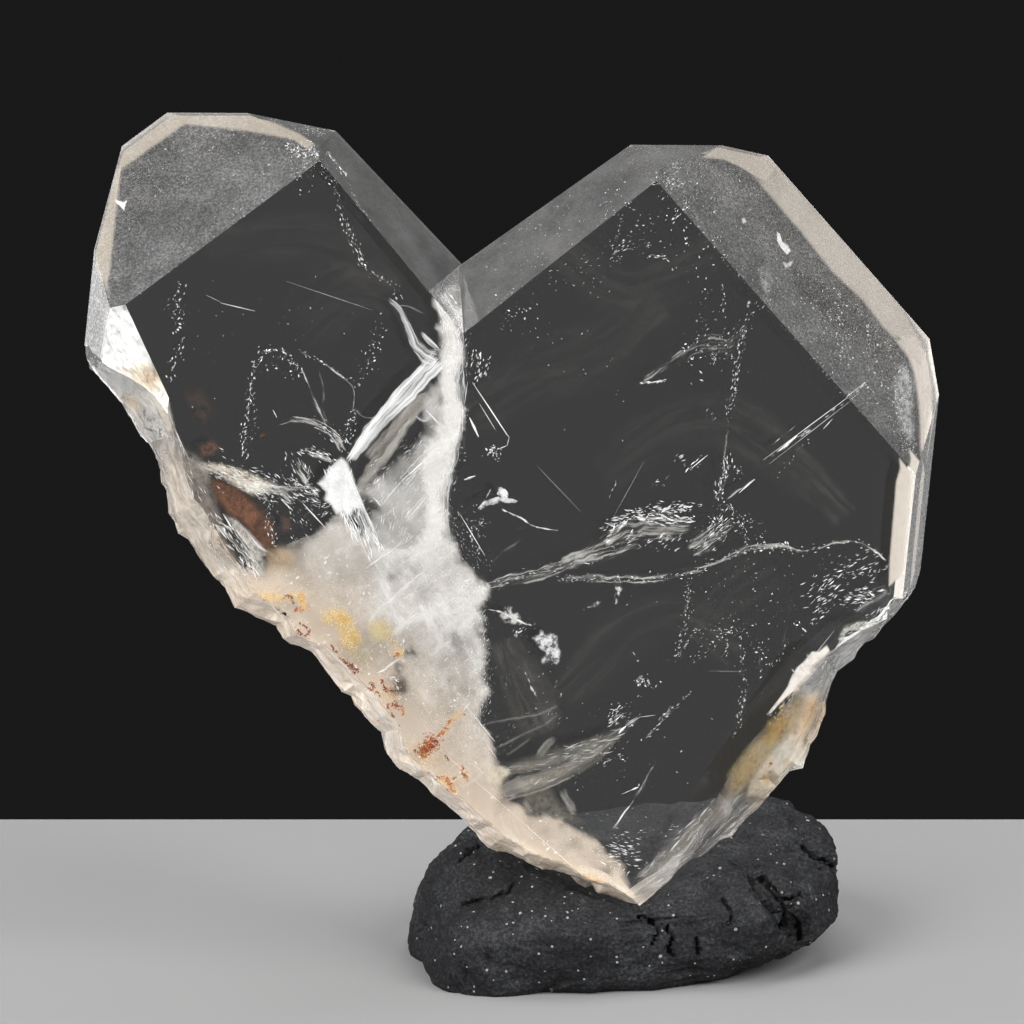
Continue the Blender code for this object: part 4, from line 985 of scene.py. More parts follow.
def veil_material(name, colours, top, edges, grain, spots=0.0, eaten=0.3):
    """Veils inside, as strands with ragged borders: colours, greatest cover, where the
    cover starts and is full, cells along and across, share of spots, and how far the
    strands are eaten away towards the border."""
    material, tree, shader = shader_nodes(name)
    lines = streaks(tree, *grain)
    if spots:
        lines = math_node(tree, "ADD", math_node(tree, "MULTIPLY", lines, 1.0 - spots),
                          math_node(tree, "MULTIPLY", noise_value(tree, 2400.0, 3.0, 0.6), spots))
    fade = attribute(tree, "fade")
    weaker = math_node(tree, "MULTIPLY", math_node(tree, "SUBTRACT", fade, 1.0), eaten)
    body = stretch(tree, math_node(tree, "ADD", lines, weaker), *edges, 0.0, top)
    whole = math_node(tree, "MULTIPLY", body, stretch(tree, fade, 0.0, 0.4, 0.0, 1.0))
    tree.links.new(whole, shader.inputs["Alpha"])
    tree.links.new(ramp(tree, lines, colours), shader.inputs["Base Color"])
    shader.inputs["Roughness"].default_value = 0.45
    shader.inputs["Specular IOR Level"].default_value = 0.1
    return material


def plain_veil(name, colours):
    """Small solid marks inside; the mesh says how far along its colours each one is."""
    material, tree, shader = shader_nodes(name)
    shade = math_node(tree, "ADD", attribute(tree, "warm"),
                      stretch(tree, noise_value(tree, 2200.0, 4.0), 0.3, 0.7, -0.25, 0.25))
    tree.links.new(ramp(tree, shade, colours), shader.inputs["Base Color"])
    tree.links.new(attribute(tree, "fade"), shader.inputs["Alpha"])
    shader.inputs["Roughness"].default_value = 0.4
    shader.inputs["Specular IOR Level"].default_value = 0.1
    return material


def cloud_material():
    """Milky quartz in depth, in slabs and streaks like cracked ice: white above, creamy
    towards the broken edge."""
    material, tree, shader = shader_nodes("milky_quartz")
    wide = plate_noise(tree, 380.0, 5.0, 0.65, 0.0, (1.0, 6.0, 1.0))
    rising = plate_noise(tree, 1300.0, 4.0, 0.65, -42.0, (5.0, 1.0, 1.0))
    falling = plate_noise(tree, 1300.0, 4.0, 0.65, 55.0, (4.0, 1.0, 1.0))
    lines = math_node(tree, "MAXIMUM", rising, falling)
    slabs = stretch(tree, cell_value(tree, 620.0, (1.0, 2.0, 1.6)), 0.0, 1.0, 0.72, 1.0)
    body = math_node(tree, "MULTIPLY", stretch(tree, lines, 0.46, 0.68, 0.5, 1.0),
                     stretch(tree, wide, 0.36, 0.58, 0.45, 1.0))
    body = math_node(tree, "MULTIPLY", body, slabs)
    body = math_node(tree, "MAXIMUM", body, stretch(tree, attribute(tree, "warm"), 0.4, 1.0, 0.0, 0.6))
    tree.links.new(math_node(tree, "MULTIPLY", body, attribute(tree, "fade")), shader.inputs["Alpha"])
    crisp = math_node(tree, "ADD", attribute(tree, "warm"), stretch(tree, wide, 0.3, 0.7, 0.2, -0.2))
    hue = math_node(tree, "ADD", crisp, stretch(tree, lines, 0.48, 0.70, 0.12, -0.22))
    stops = ((0.0, (0.78, 0.76, 0.73)), (0.14, (0.66, 0.63, 0.59)), (0.4, (0.65, 0.59, 0.52)), (1.0, (0.65, 0.56, 0.46)))
    tree.links.new(ramp(tree, hue, stops), shader.inputs["Base Color"])
    shader.inputs["Roughness"].default_value = 0.5
    shader.inputs["Specular IOR Level"].default_value = 0.1
    return material


def patch_material(name):
    """Patches inside, mottled as much as the mesh says: colour, and for the pale bands painted reflection."""
    material, tree, shader = shader_nodes(name)
    blots = stretch(tree, noise_value(tree, 2600.0, 5.0, 0.7), 0.40, 0.56, 1.0, 0.0)
    gaps = math_node(tree, "MULTIPLY", blots, attribute(tree, "warm"))
    whole = math_node(tree, "MULTIPLY", attribute(tree, "fade"), math_node(tree, "SUBTRACT", 1.0, gaps))
    tree.links.new(whole, shader.inputs["Alpha"])
    tree.links.new(attribute(tree, "tint", "Color"), shader.inputs["Base Color"])
    shader.inputs["Roughness"].default_value = 0.5
    shader.inputs["Specular IOR Level"].default_value = 0.1
    return material


def speckle(tree, cells_a_metre, size, often):
    """Tiny round spots at some of the cells: one inside a spot, nought elsewhere."""
    place = tree.nodes.new("ShaderNodeTexCoord")
    cells = tree.nodes.new("ShaderNodeTexVoronoi")
    cells.inputs["Scale"].default_value = cells_a_metre
    tree.links.new(place.outputs["Object"], cells.inputs["Vector"])
    chosen = tree.nodes.new("ShaderNodeSeparateColor")
    tree.links.new(cells.outputs["Color"], chosen.inputs["Color"])
    near = math_node(tree, "LESS_THAN", cells.outputs["Distance"], size)
    return math_node(tree, "MULTIPLY", near, math_node(tree, "GREATER_THAN", chosen.outputs["Red"], often))


def putty_material():
    """Charcoal putty: matte and granular, with tiny pale specks."""
    material, tree, shader = shader_nodes("dark_putty")
    grains = noise_value(tree, 5200.0, 4.0, 0.7)
    patches = noise_value(tree, 420.0, 5.0, 0.65)
    shade = math_node(tree, "ADD", math_node(tree, "MULTIPLY", grains, 0.65),
                      math_node(tree, "MULTIPLY", patches, 0.35))
    stops = ((0.38, (0.006, 0.006, 0.007)), (0.52, (0.017, 0.0175, 0.019)), (0.68, (0.062, 0.063, 0.066)))
    fine = speckle(tree, 2600.0, 0.20, 0.86)
    coarse = speckle(tree, 1100.0, 0.12, 0.82)
    mix = tree.nodes.new("ShaderNodeMix")
    mix.data_type = "RGBA"
    tree.links.new(math_node(tree, "MAXIMUM", fine, coarse), mix.inputs["Factor"])
    tree.links.new(ramp(tree, shade, stops), mix.inputs["A"])
    mix.inputs["B"].default_value = (0.30, 0.30, 0.29, 1.0)
    tree.links.new(mix.outputs["Result"], shader.inputs["Base Color"])
    tree.links.new(stretch(tree, grains, 0.3, 0.7, 0.85, 0.6), shader.inputs["Roughness"])
    shader.inputs["Specular IOR Level"].default_value = 0.2
    bump(tree, shader, grains, 0.7, 0.10 * MM)
    return material


def plate_copy(node):
    """The node's mesh in the plate's frame, welded."""
    bm = bmesh.new()
    bm.from_mesh(node.data)
    bm.transform(PLATE.inverted() @ node.matrix_world)
    bmesh.ops.remove_doubles(bm, verts=bm.verts, dist=WELD)
    return bm


def crystal_faces():
    """Normals of all the flat faces, by name."""
    named = {"front": Vector((0.0, -1.0, 0.0)), "back": Vector((0.0, 1.0, 0.0)),
             "flake": FLAKE_NORMAL.normalized()}
    for side, word in ((1, "right"), (-1, "left")):
        for turn in (0, 60, 120, 180, -120, -60):
            named[f"{word}_{turn}"] = face_normal(side, math.radians(turn), RHOMB_RISE)
    notch = ((1, -58.5, 3.2), (1, -120.0, 7.7), (-1, -60.0, 3.1), (-1, -120.0, 10.2))
    for side, turn, taper in notch:
        word = "right" if side > 0 else "left"
        named[f"{word}_notch_{turn:.0f}"] = face_normal(side, math.radians(turn), math.radians(taper))
    return named


def flat_face(normal, named):
    """Name of the flat face with this normal, or None on the broken wall."""
    for name, flat in named.items():
        if normal.dot(flat) > FLAT_ENOUGH:
            return name
    return None


def surface_slot(name):
    """Which of the twin's materials a named face has."""
    if name is None:
        return WALL
    if name == "flake":
        return WHITE
    if name in FROSTED_FACES:
        return FROSTED
    if name in STRIP_FACES:
        return STRIP
    if name in PALE_FACES:
        return PALE
    return CLEAR if name in ("front", "back") else HAZY


def wall_look(across, down):
    """How milky, warm and amber the wall is here, blended from the places round about."""
    total = Vector((0.0, 0.0, 0.0))
    weights = 0.0
    for spot_across, spot_down, *look in WALL_LOOKS:
        away = (across - spot_across) ** 2 + (down - spot_down) ** 2
        weight = 1.0 / (away + LOOK_REACH ** 2) ** 2
        total += Vector(look) * weight
        weights += weight
    return total / weights


def wall_tint(warm, amber):
    """Colour of the broken wall: white to cream, then amber over it."""
    white = Vector((0.96, 0.96, 0.95))
    cream = Vector((0.95, 0.84, 0.72))
    gold = Vector((0.86, 0.56, 0.20))
    return white.lerp(cream, min(1.0, warm)).lerp(gold, min(1.0, amber))


def refine_wall(bm, named):
    """Split the broken wall finely and roughen it; flat faces stay flat."""
    layer = bm.faces.layers.int.new("slot")
    bm.normal_update()
    for face in bm.faces:
        face[layer] = surface_slot(flat_face(face.normal, named))
    for _ in range(WALL_CUTS):
        edges = {edge for face in bm.faces if face[layer] == WALL for edge in face.edges}
        bmesh.ops.subdivide_edges(bm, edges=list(edges), cuts=1, use_grid_fill=True)
        bmesh.ops.triangulate(bm, faces=bm.faces[:])
    bm.normal_update()
    moves = {}
    for vertex in bm.verts:
        around = vertex.link_faces
        if not any(face[layer] == WALL for face in around):
            continue
        point = vertex.co
        coarse = noise.fractal(point / (1.1 * MM), 1.0, 2.0, 4) * WALL_ROUGHNESS
        ridge = abs(noise.noise(point / (0.7 * MM))) * -WALL_ROUGHNESS
        move = vertex.normal * (coarse + ridge)
        for face in around:
            if face[layer] != WALL:
                move -= face.normal * move.dot(face.normal)
        moves[vertex] = move
    for vertex, move in moves.items():
        vertex.co += move
    for face in bm.faces:
        face.material_index = face[layer]
        face.smooth = False
    bm.faces.layers.int.remove(layer)


def place_along(spot, line):
    """How far along a line the nearest point to a spot is, and how far the spot is from it."""
    gone = 0.0
    best = (math.inf, 0.0)
    for start, end in zip(line, line[1:]):
        a = Vector(start)
        run = Vector(end) - a
        share = min(1.0, max(0.0, (spot - a).dot(run) / run.length_squared))
        best = min(best, ((spot - a - run * share).length, gone + share * run.length))
        gone += run.length
    return best[1], best[0]


def paint_wall(bm):
    """Give every point its milkiness and tint, and its place along and across the wall."""
    milk, tan, along, across = (bm.verts.layers.float.new(name) for name in ("milk", "tan", "along", "across"))
    tint = bm.verts.layers.float_color.new("tint")
    for vertex in bm.verts:
        if not any(face.material_index in (WALL, WHITE) for face in vertex.link_faces):
            continue
        spot = Vector(steps_to(vertex.co))
        milky, warm, amber = wall_look(*spot)
        vertex[milk] = milky
        vertex[tint] = (*wall_tint(warm, amber), 1.0)
        far, off = place_along(spot, WALL_LINE)
        vertex[along] = far * STEP
        vertex[across] = off * STEP + vertex.co.y / MM
        away = math.hypot((spot.x - 146) / 24.0, (spot.y - 380) / 14.0)
        vertex[tan] = max(0.0, 1.0 - away * 0.7)


def break_flake(bm):
    """Split the flake finely and give it facets; its border stays where it is."""
    for _ in range(FLAKE_CUTS):
        edges = {edge for face in bm.faces if face.material_index == WHITE for edge in face.edges}
        bmesh.ops.subdivide_edges(bm, edges=list(edges), cuts=1, use_grid_fill=True)
        bmesh.ops.triangulate(bm, faces=bm.faces[:])
    normal = FLAKE_NORMAL.normalized()
    for vertex in bm.verts:
        if not all(face.material_index == WHITE for face in vertex.link_faces):
            continue
        near, second = noise.voronoi(vertex.co / (0.7 * MM))[0][:2]
        step = min(0.4, second - near) * 0.35 + 0.4 * abs(noise.noise(vertex.co / (0.5 * MM)))
        vertex.co -= normal * step * FLAKE_ROUGHNESS


def twin():
    """The clear twin, with its broken wall made fine, in place of the plain solid."""
    bm = plate_copy(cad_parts["quartz_twin"])
    refine_wall(bm, crystal_faces())
    break_flake(bm)
    paint_wall(bm)
    bm.transform(PLATE)
    mesh = bpy.data.meshes.new("quartz_twin_clear")
    for material in (clear_quartz(),
                     frosted_quartz("frosted_quartz", (0.07, 0.15), 0.40, (0.03, 0.10)),
                     frosted_quartz("hazy_quartz", (0.07, 0.13), 0.14, (0.03, 0.08)),
                     frosted_quartz("strip_quartz", (0.44, 0.58), 0.35, (0.06, 0.14)),
                     pale_quartz(), white_break(), broken_quartz()):
        mesh.materials.append(material)
    bm.to_mesh(mesh)
    bm.free()
    piece = link("quartz_twin_clear", mesh)
    piece.visible_shadow = False
    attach(piece, "root")
    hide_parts("quartz_twin")


def inner_piece(name, bm, material):
    """Link something that lies inside the crystal."""
    bmesh.ops.delete(bm, geom=[vertex for vertex in bm.verts if not vertex.link_faces], context="VERTS")
    bm.transform(PLATE)
    mesh = bpy.data.meshes.new(name)
    bm.to_mesh(mesh)
    bm.free()
    mesh.materials.append(material)
    piece = link(name, mesh)
    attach(piece, "root")


def inner_mesh():
    """An empty mesh whose points carry cover, warmth, and places along and across a veil."""
    bm = bmesh.new()
    for name in ("fade", "warm", "along", "across"):
        bm.verts.layers.float.new(name)
    return bm


def depth_inside(point):
    """How far inside the crystal's surface a point lies; negative outside."""
    place, normal, _, distance = SURFACE.find_nearest(point)
    return distance if (point - place).dot(normal) < 0 else -distance


def through(across, down):
    """Where the line of sight enters and leaves the crystal, or None beside it."""
    start = seen(across, down, -4.0)
    run = (seen(across, down, 1.0) - seen(across, down, 0.0)).normalized()
    near = SURFACE.ray_cast(start, run)[0]
    if near is None:
        return None
    far = SURFACE.ray_cast(near + run * 0.02 * MM, run)[0]
    return None if far is None else (near, far)


def between(across, down, share):
    """The seen place at a share of the crystal's thickness, or None beside it."""
    ends = through(across, down)
    return None if ends is None else ends[0].lerp(ends[1], share)


def tucked(across, down, depth):
    """The seen place at this depth, or behind it until it lies inside the crystal."""
    point = seen(across, down, depth)
    while depth_inside(point) < 0.10 * MM and depth < 5.0:
        depth += 0.15
        point = seen(across, down, depth)
    return point


def settled(spot, middle, share):
    """Place at a share of the thickness, drawn towards the middle until it lies inside."""
    for step in range(9):
        point = between(*spot.lerp(middle, step / 8), share)
        if point is not None and depth_inside(point) > 0.02 * MM:
            return point
    return None


def edge_distance(spot, outline):
    """How far a spot is inside a closed outline, in steps; negative outside."""
    nearest = math.inf
    inside = False
    for start, end in zip(outline, outline[1:] + outline[:1]):
        a = Vector(start)
        run = Vector(end) - a
        share = min(1.0, max(0.0, (spot - a).dot(run) / run.length_squared))
        nearest = min(nearest, (spot - a - run * share).length)
        if (a.y > spot.y) != (end[1] > spot.y):
            if spot.x < a.x + (spot.y - a.y) / run.y * run.x:
                inside = not inside
    return nearest if inside else -nearest


def line_distance(spot, line):
    """Distance from a spot to a line of straight stretches."""
    nearest = math.inf
    for start, end in zip(line, line[1:]):
        a = Vector(start)
        run = Vector(end) - a
        share = min(1.0, max(0.0, (spot - a).dot(run) / run.length_squared))
        nearest = min(nearest, (spot - a - run * share).length)
    return nearest


def cloud_cover(spot):
    """How thick and how warm the milky zone is at a spot; below nought beside it."""
    ragged = noise.noise(Vector((spot.x / 22.0, 3.7, spot.y / 22.0)))
    ragged += 0.6 * noise.noise(Vector((spot.x / 9.0, 1.3, spot.y / 9.0)))
    ragged += 0.5 * noise.noise(Vector((spot.x / 4.0, 5.1, spot.y / 4.0)))
    thick = min(1.0, (edge_distance(spot, CLOUD_OUTLINE) + 6.0 * ragged + 1.0) / CLOUD_SOFTNESS)
    smoke = min(1.0, (edge_distance(spot, SMOKE_OUTLINE) + 6.0 * ragged) / CLOUD_SOFTNESS)
    thick = max(thick, smoke * SMOKE_SHARE)
    bent = spot + Vector((noise.noise(Vector((spot.x / 9.0, 8.2, spot.y / 9.0))),
                          noise.noise(Vector((spot.x / 9.0, 2.9, spot.y / 9.0))))) * 7.0
    for across, down, radius, strength in THIN_PLACES:
        share = ((bent.x - across) ** 2 + (bent.y - down) ** 2) / radius ** 2
        if share < 5.0 and thick > 0.0:
            thick *= 1.0 - strength * min(1.0, 1.5 * math.exp(-share))
    away = line_distance(spot, RIM_LINE) / RIM_REACH
    return thick, min(1.0, 1.25 * math.exp(-away * away))


def join_grid(bm, grid, fade):
    """Faces between the points of a grid, where they cover anything."""
    for column, row in grid:
        corners = [(column, row), (column + 1, row), (column + 1, row + 1), (column, row + 1)]
        if all(corner in grid for corner in corners):
            if max(grid[corner][fade] for corner in corners) > 0.005:
                bm.faces.new([grid[corner] for corner in corners])


def cloud_sheets(name, material):
    """The milky zone: wavy sheets one behind the other."""
    bm = inner_mesh()
    fade = bm.verts.layers.float["fade"]
    warm = bm.verts.layers.float["warm"]
    corners = CLOUD_OUTLINE + SMOKE_OUTLINE
    lows = [min(corner[axis] for corner in corners) - 12 for axis in (0, 1)]
    highs = [max(corner[axis] for corner in corners) + 12 for axis in (0, 1)]
    covers = {}
    for column in range(round((highs[0] - lows[0]) / CLOUD_STEP)):
        for row in range(round((highs[1] - lows[1]) / CLOUD_STEP)):
            spot = Vector((lows[0] + column * CLOUD_STEP, lows[1] + row * CLOUD_STEP))
            thick, cream = cloud_cover(spot)
            ends = through(*spot) if thick > -0.8 else None
            if ends:
                covers[column, row] = (spot, max(0.0, thick), cream, ends)
    for index, share in enumerate(CLOUD_SHARES):
        grid = {}
        for place, (spot, thick, cream, ends) in covers.items():
            wave = noise.noise(Vector((spot.x / 50.0, index * 5.1, spot.y / 50.0))) * 0.05
            point = ends[0].lerp(ends[1], share + wave)
            room = depth_inside(point) / MM
            if room < 0.05:
                continue
            vertex = bm.verts.new(point)
            vertex[fade] = thick * min(1.0, room / 0.2) * CLOUD_DENSITY
            vertex[warm] = cream
            grid[place] = vertex
        join_grid(bm, grid, fade)
    inner_piece(name, bm, material)


def curve_through(points, step):
    """Even points along a smooth curve through rows of numbers; the first two are its place."""
    places = [Vector(point) for point in points]
    places = [places[0] * 2 - places[1]] + places + [places[-1] * 2 - places[-2]]
    made = []
    for a, b, c, d in zip(places, places[1:], places[2:], places[3:]):
        count = max(1, round(math.hypot(c[0] - b[0], c[1] - b[1]) / step))
        for index in range(count):
            t = index / count
            made.append(0.5 * (2 * b + (c - a) * t + (2 * a - 5 * b + 4 * c - d) * t * t
                               + (3 * b - a - 3 * c + d) * t * t * t))
    return made + [places[-2]]


def sideways(steps, index):
    """Direction across a path at one of its steps, in the view."""
    ahead = steps[min(index + 1, len(steps) - 1)] - steps[max(index - 1, 0)]
    return Vector((-ahead[1], ahead[0])).normalized()


def veil(bm, depth, tilt, strength, rows, seed):
    """A wavy veil along a path, deeper on one side than on the other."""
    fade, warm, along, across = (bm.verts.layers.float[name] for name in ("fade", "warm", "along", "across"))
    steps = curve_through(rows, 2.5)
    count = max(2, round(max(step[2] for step in steps) * 2 / 2.6))
    lines = []
    for index, step in enumerate(steps):
        side = sideways(steps, index)
        line = []
        for level in range(count + 1):
            share = 2 * level / count - 1
            spot = Vector(step[:2]) + side * share * step[2]
            ripple = noise.noise(Vector((spot.x / 9.0, seed, spot.y / 9.0)))
            spot += side * ripple * min(2.0, step[2] * 0.35)
            wave = noise.noise(Vector((spot.x / 30.0, seed + 7.0, spot.y / 30.0))) * 0.25
            point = seen(spot.x, spot.y, depth + share * step[2] * STEP * tilt + wave)
            room = depth_inside(point) / MM
            if room < 0.0:
                line.append(None)
                continue
            vertex = bm.verts.new(point)
            end = min(index, len(steps) - 1 - index) / 3.0 + 0.2
            edge = (1.0 - abs(share)) * 2.2
            vertex[fade] = max(0.0, min(1.0, end, edge, room * 20.0)) * strength
            vertex[warm] = 0.5
            vertex[along] = index * 2.5 * STEP + seed * 17.0
            vertex[across] = share * step[2] * STEP
            line.append(vertex)
        lines.append(line)
    for lower, upper in zip(lines, lines[1:]):
        for level in range(count):
            corners = (lower[level], lower[level + 1], upper[level + 1], upper[level])
            if all(corners) and max(corner[fade] for corner in corners) > 0.01:
                bm.faces.new(corners)


def veils(name, rows, material, start):
    """Several veils as one piece."""
    bm = inner_mesh()
    for index, (depth, tilt, strength, path) in enumerate(rows):
        veil(bm, depth, tilt, strength, path, start + index)
    inner_piece(name, bm, material)


def patch(bm, share, soft, cover, mottle, colour, outline):
    """A patch of colour inside an outline, which ends where the crystal ends."""
    fade, warm = (bm.verts.layers.float[name] for name in ("fade", "warm"))
    tint = bm.verts.layers.float_color["tint"]
    step = max(0.7, min(2.6, 0.7 * soft))
    lows = [min(corner[axis] for corner in outline) - step for axis in (0, 1)]
    highs = [max(corner[axis] for corner in outline) + step for axis in (0, 1)]
    spots = {}
    points = {}
    for column in range(round((highs[0] - lows[0]) / step) + 1):
        for row in range(round((highs[1] - lows[1]) / step) + 1):
            spot = Vector((lows[0] + column * step, lows[1] + row * step))
            inside = edge_distance(spot, outline)
            if inside < -step:
                continue
            spots[column, row] = (spot, inside)
            point = between(*spot, share)
            if point is not None and depth_inside(point) > 0.02 * MM:
                points[column, row] = point
    ends = {}
    for (column, row), (spot, inside) in spots.items():
        beside = [(column + right, row + up) for right in (-1, 0, 1) for up in (-1, 0, 1)]
        near = [spots[place][0] for place in beside if place in points]
        if (column, row) not in points and near:
            point = settled(spot, near[0], share)
            if point is not None:
                ends[column, row] = point
    grid = {}
    for place, point in (*points.items(), *ends.items()):
        vertex = bm.verts.new(point)
        vertex[fade] = cover * min(1.0, max(0.0, spots[place][1] / soft))
        vertex[warm] = mottle
        vertex[tint] = (*colour, 1.0)
        grid[place] = vertex
    join_grid(bm, grid, fade)


def patches(name, rows, material):
    """Several patches as one piece."""
    bm = inner_mesh()
    bm.verts.layers.float_color.new("tint")
    for row in rows:
        patch(bm, *row)
    inner_piece(name, bm, material)


def sliver(bm, middle, heading, length, width, lean, turn):
    """One sliver: a pointed lozenge that leans away from the view."""
    run = Vector((math.cos(heading), lean, math.sin(heading))).normalized()
    side = Vector((-math.sin(heading), turn, math.cos(heading))).normalized()
    places = (middle - run * length, middle + side * width, middle + run * length, middle - side * width)
    corners = [bm.verts.new(place) for place in places]
    bm.faces.new(corners)
    return corners


def slivers(name, rows, material, seed):
    """Bright slivers scattered along paths."""
    rng = random.Random(seed)
    bm = inner_mesh()
    fade, warm = (bm.verts.layers.float[layer] for layer in ("fade", "warm"))
    for path, deep, spread, often, most, heading in rows:
        loose = heading is None and spread >= 3.0
        stray = 60.0 if loose else 25.0 if heading is None else 14.0
        width = 0.42 if loose else 0.30 if heading is None else 0.17
        steps = curve_through(path, 3.0)
        for a, b in zip(steps, steps[1:]):
            course = math.atan2(a[1] - b[1], b[0] - a[0]) if heading is None else math.radians(heading)
            wanted = often * math.hypot(b[0] - a[0], b[1] - a[1])
            for _ in range(int(wanted) + (rng.random() < wanted % 1)):
                spot = a.lerp(b, rng.random())
                depth = max(0.25, deep + rng.gauss(0.0, spread * 0.8) * STEP)
                point = seen(spot[0] + rng.gauss(0.0, spread), spot[1] + rng.gauss(0.0, spread), depth)
                turned = course + math.radians(rng.gauss(0.0, stray))
                size = most * (0.25 + 0.75 * rng.random() ** 2) * 0.5 * STEP * MM
                lean, turn = rng.uniform(-0.5, 0.5), rng.uniform(-0.5, 0.5)
                shine = rng.uniform(0.3, 1.0)
                if depth_inside(point) < 0.1 * MM + size:
                    continue
                for vertex in sliver(bm, point, turned, size, size * width * rng.uniform(0.6, 1.3), lean, turn):
                    vertex[fade] = shine
                    vertex[warm] = 0.5
    inner_piece(name, bm, material)


def needles(name, rows, material):
    """Straight bright needles and crack edges: thin three-sided rods."""
    bm = inner_mesh()
    for ends, depth, radius in rows:
        a, b = (tucked(*end, depth) for end in ends)
        run = (b - a).normalized()
        over = run.orthogonal().normalized()
        beyond = run.cross(over)
        rings = []
        for place, thick in ((a, 0.3), ((a + b) / 2, 1.0), (b, 0.3)):
            ring = []
            for corner in range(3):
                turn = math.tau * corner / 3
                out = over * math.cos(turn) + beyond * math.sin(turn)
                ring.append(bm.verts.new(place + out * thick * radius * 0.7 * STEP * MM))
            rings.append(ring)
        for lower, upper in zip(rings, rings[1:]):
            for corner in range(3):
                after = (corner + 1) % 3
                bm.faces.new((lower[corner], lower[after], upper[after], upper[corner]))
        bm.faces.new(rings[0])
        bm.faces.new(rings[-1])
    fade, warm = (bm.verts.layers.float[layer] for layer in ("fade", "warm"))
    for vertex in bm.verts:
        vertex[fade] = 1.0
        vertex[warm] = 0.5
    inner_piece(name, bm, material)


def speck(bm, middle, size, rng):
    """A small crumb of colour that faces the view: a five-cornered chip."""
    corners = []
    for corner in range(5):
        turn = math.tau * (corner + rng.uniform(-0.3, 0.3)) / 5
        reach = size * rng.uniform(0.5, 1.3)
        corners.append(bm.verts.new(middle + Vector((math.cos(turn), rng.uniform(-0.3, 0.3), math.sin(turn))) * reach))
    bm.faces.new(corners)
    return corners


def rust_marks(name, rows, often, least, most, material, seed):
    """Grains of iron stain, just under the surface."""
    rng = random.Random(seed)
    bm = inner_mesh()
    fade = bm.verts.layers.float["fade"]
    warm = bm.verts.layers.float["warm"]
    for path, spread, dark in rows:
        steps = curve_through(path, 1.0)
        wanted = round(len(steps) * often * max(1.0, spread))
        for _ in range(wanted):
            spot = steps[rng.randrange(len(steps))]
            point = between(spot[0] + rng.gauss(0.0, spread * 0.8), spot[1] + rng.gauss(0.0, spread * 0.8),
                            rng.uniform(0.015, 0.04))
            if point is None or depth_inside(point) < 0.04 * MM:
                continue
            shade = dark + rng.uniform(-0.35, 0.35)
            for vertex in speck(bm, point, rng.uniform(least, most) * STEP * MM, rng):
                vertex[fade] = rng.uniform(0.7, 1.0)
                vertex[warm] = shade
    inner_piece(name, bm, material)


def flecks(name, areas, material, seed):
    """Bright flecks scattered over areas."""
    rng = random.Random(seed)
    bm = inner_mesh()
    fade, warm = (bm.verts.layers.float[layer] for layer in ("fade", "warm"))
    for outline, count, low, high, most, heading, cover in areas:
        lows = [min(corner[axis] for corner in outline) for axis in (0, 1)]
        highs = [max(corner[axis] for corner in outline) for axis in (0, 1)]
        made = 0
        for _ in range(count * 6):
            spot = Vector((rng.uniform(lows[0], highs[0]), rng.uniform(lows[1], highs[1])))
            if made == count or edge_distance(spot, outline) < 0.0:
                continue
            if noise.noise(Vector((spot.x / 16.0, cover, spot.y / 16.0))) < rng.uniform(-0.5, 0.3):
                continue
            point = between(*spot, rng.uniform(low, high))
            size = most * (0.3 + 0.7 * rng.random() ** 2) * 0.5 * STEP * MM
            if point is None or depth_inside(point) < 0.03 * MM:
                continue
            course = rng.uniform(0.0, 180.0) if heading is None else heading + rng.gauss(0.0, 14.0)
            shine = min(1.0, cover * rng.uniform(0.4, 1.4))
            width = 0.45 if heading is None else 0.10
            for vertex in sliver(bm, point, math.radians(course), size, size * width, 0.0, 0.0):
                vertex[fade] = shine
                vertex[warm] = 0.5
            made += 1
    inner_piece(name, bm, material)


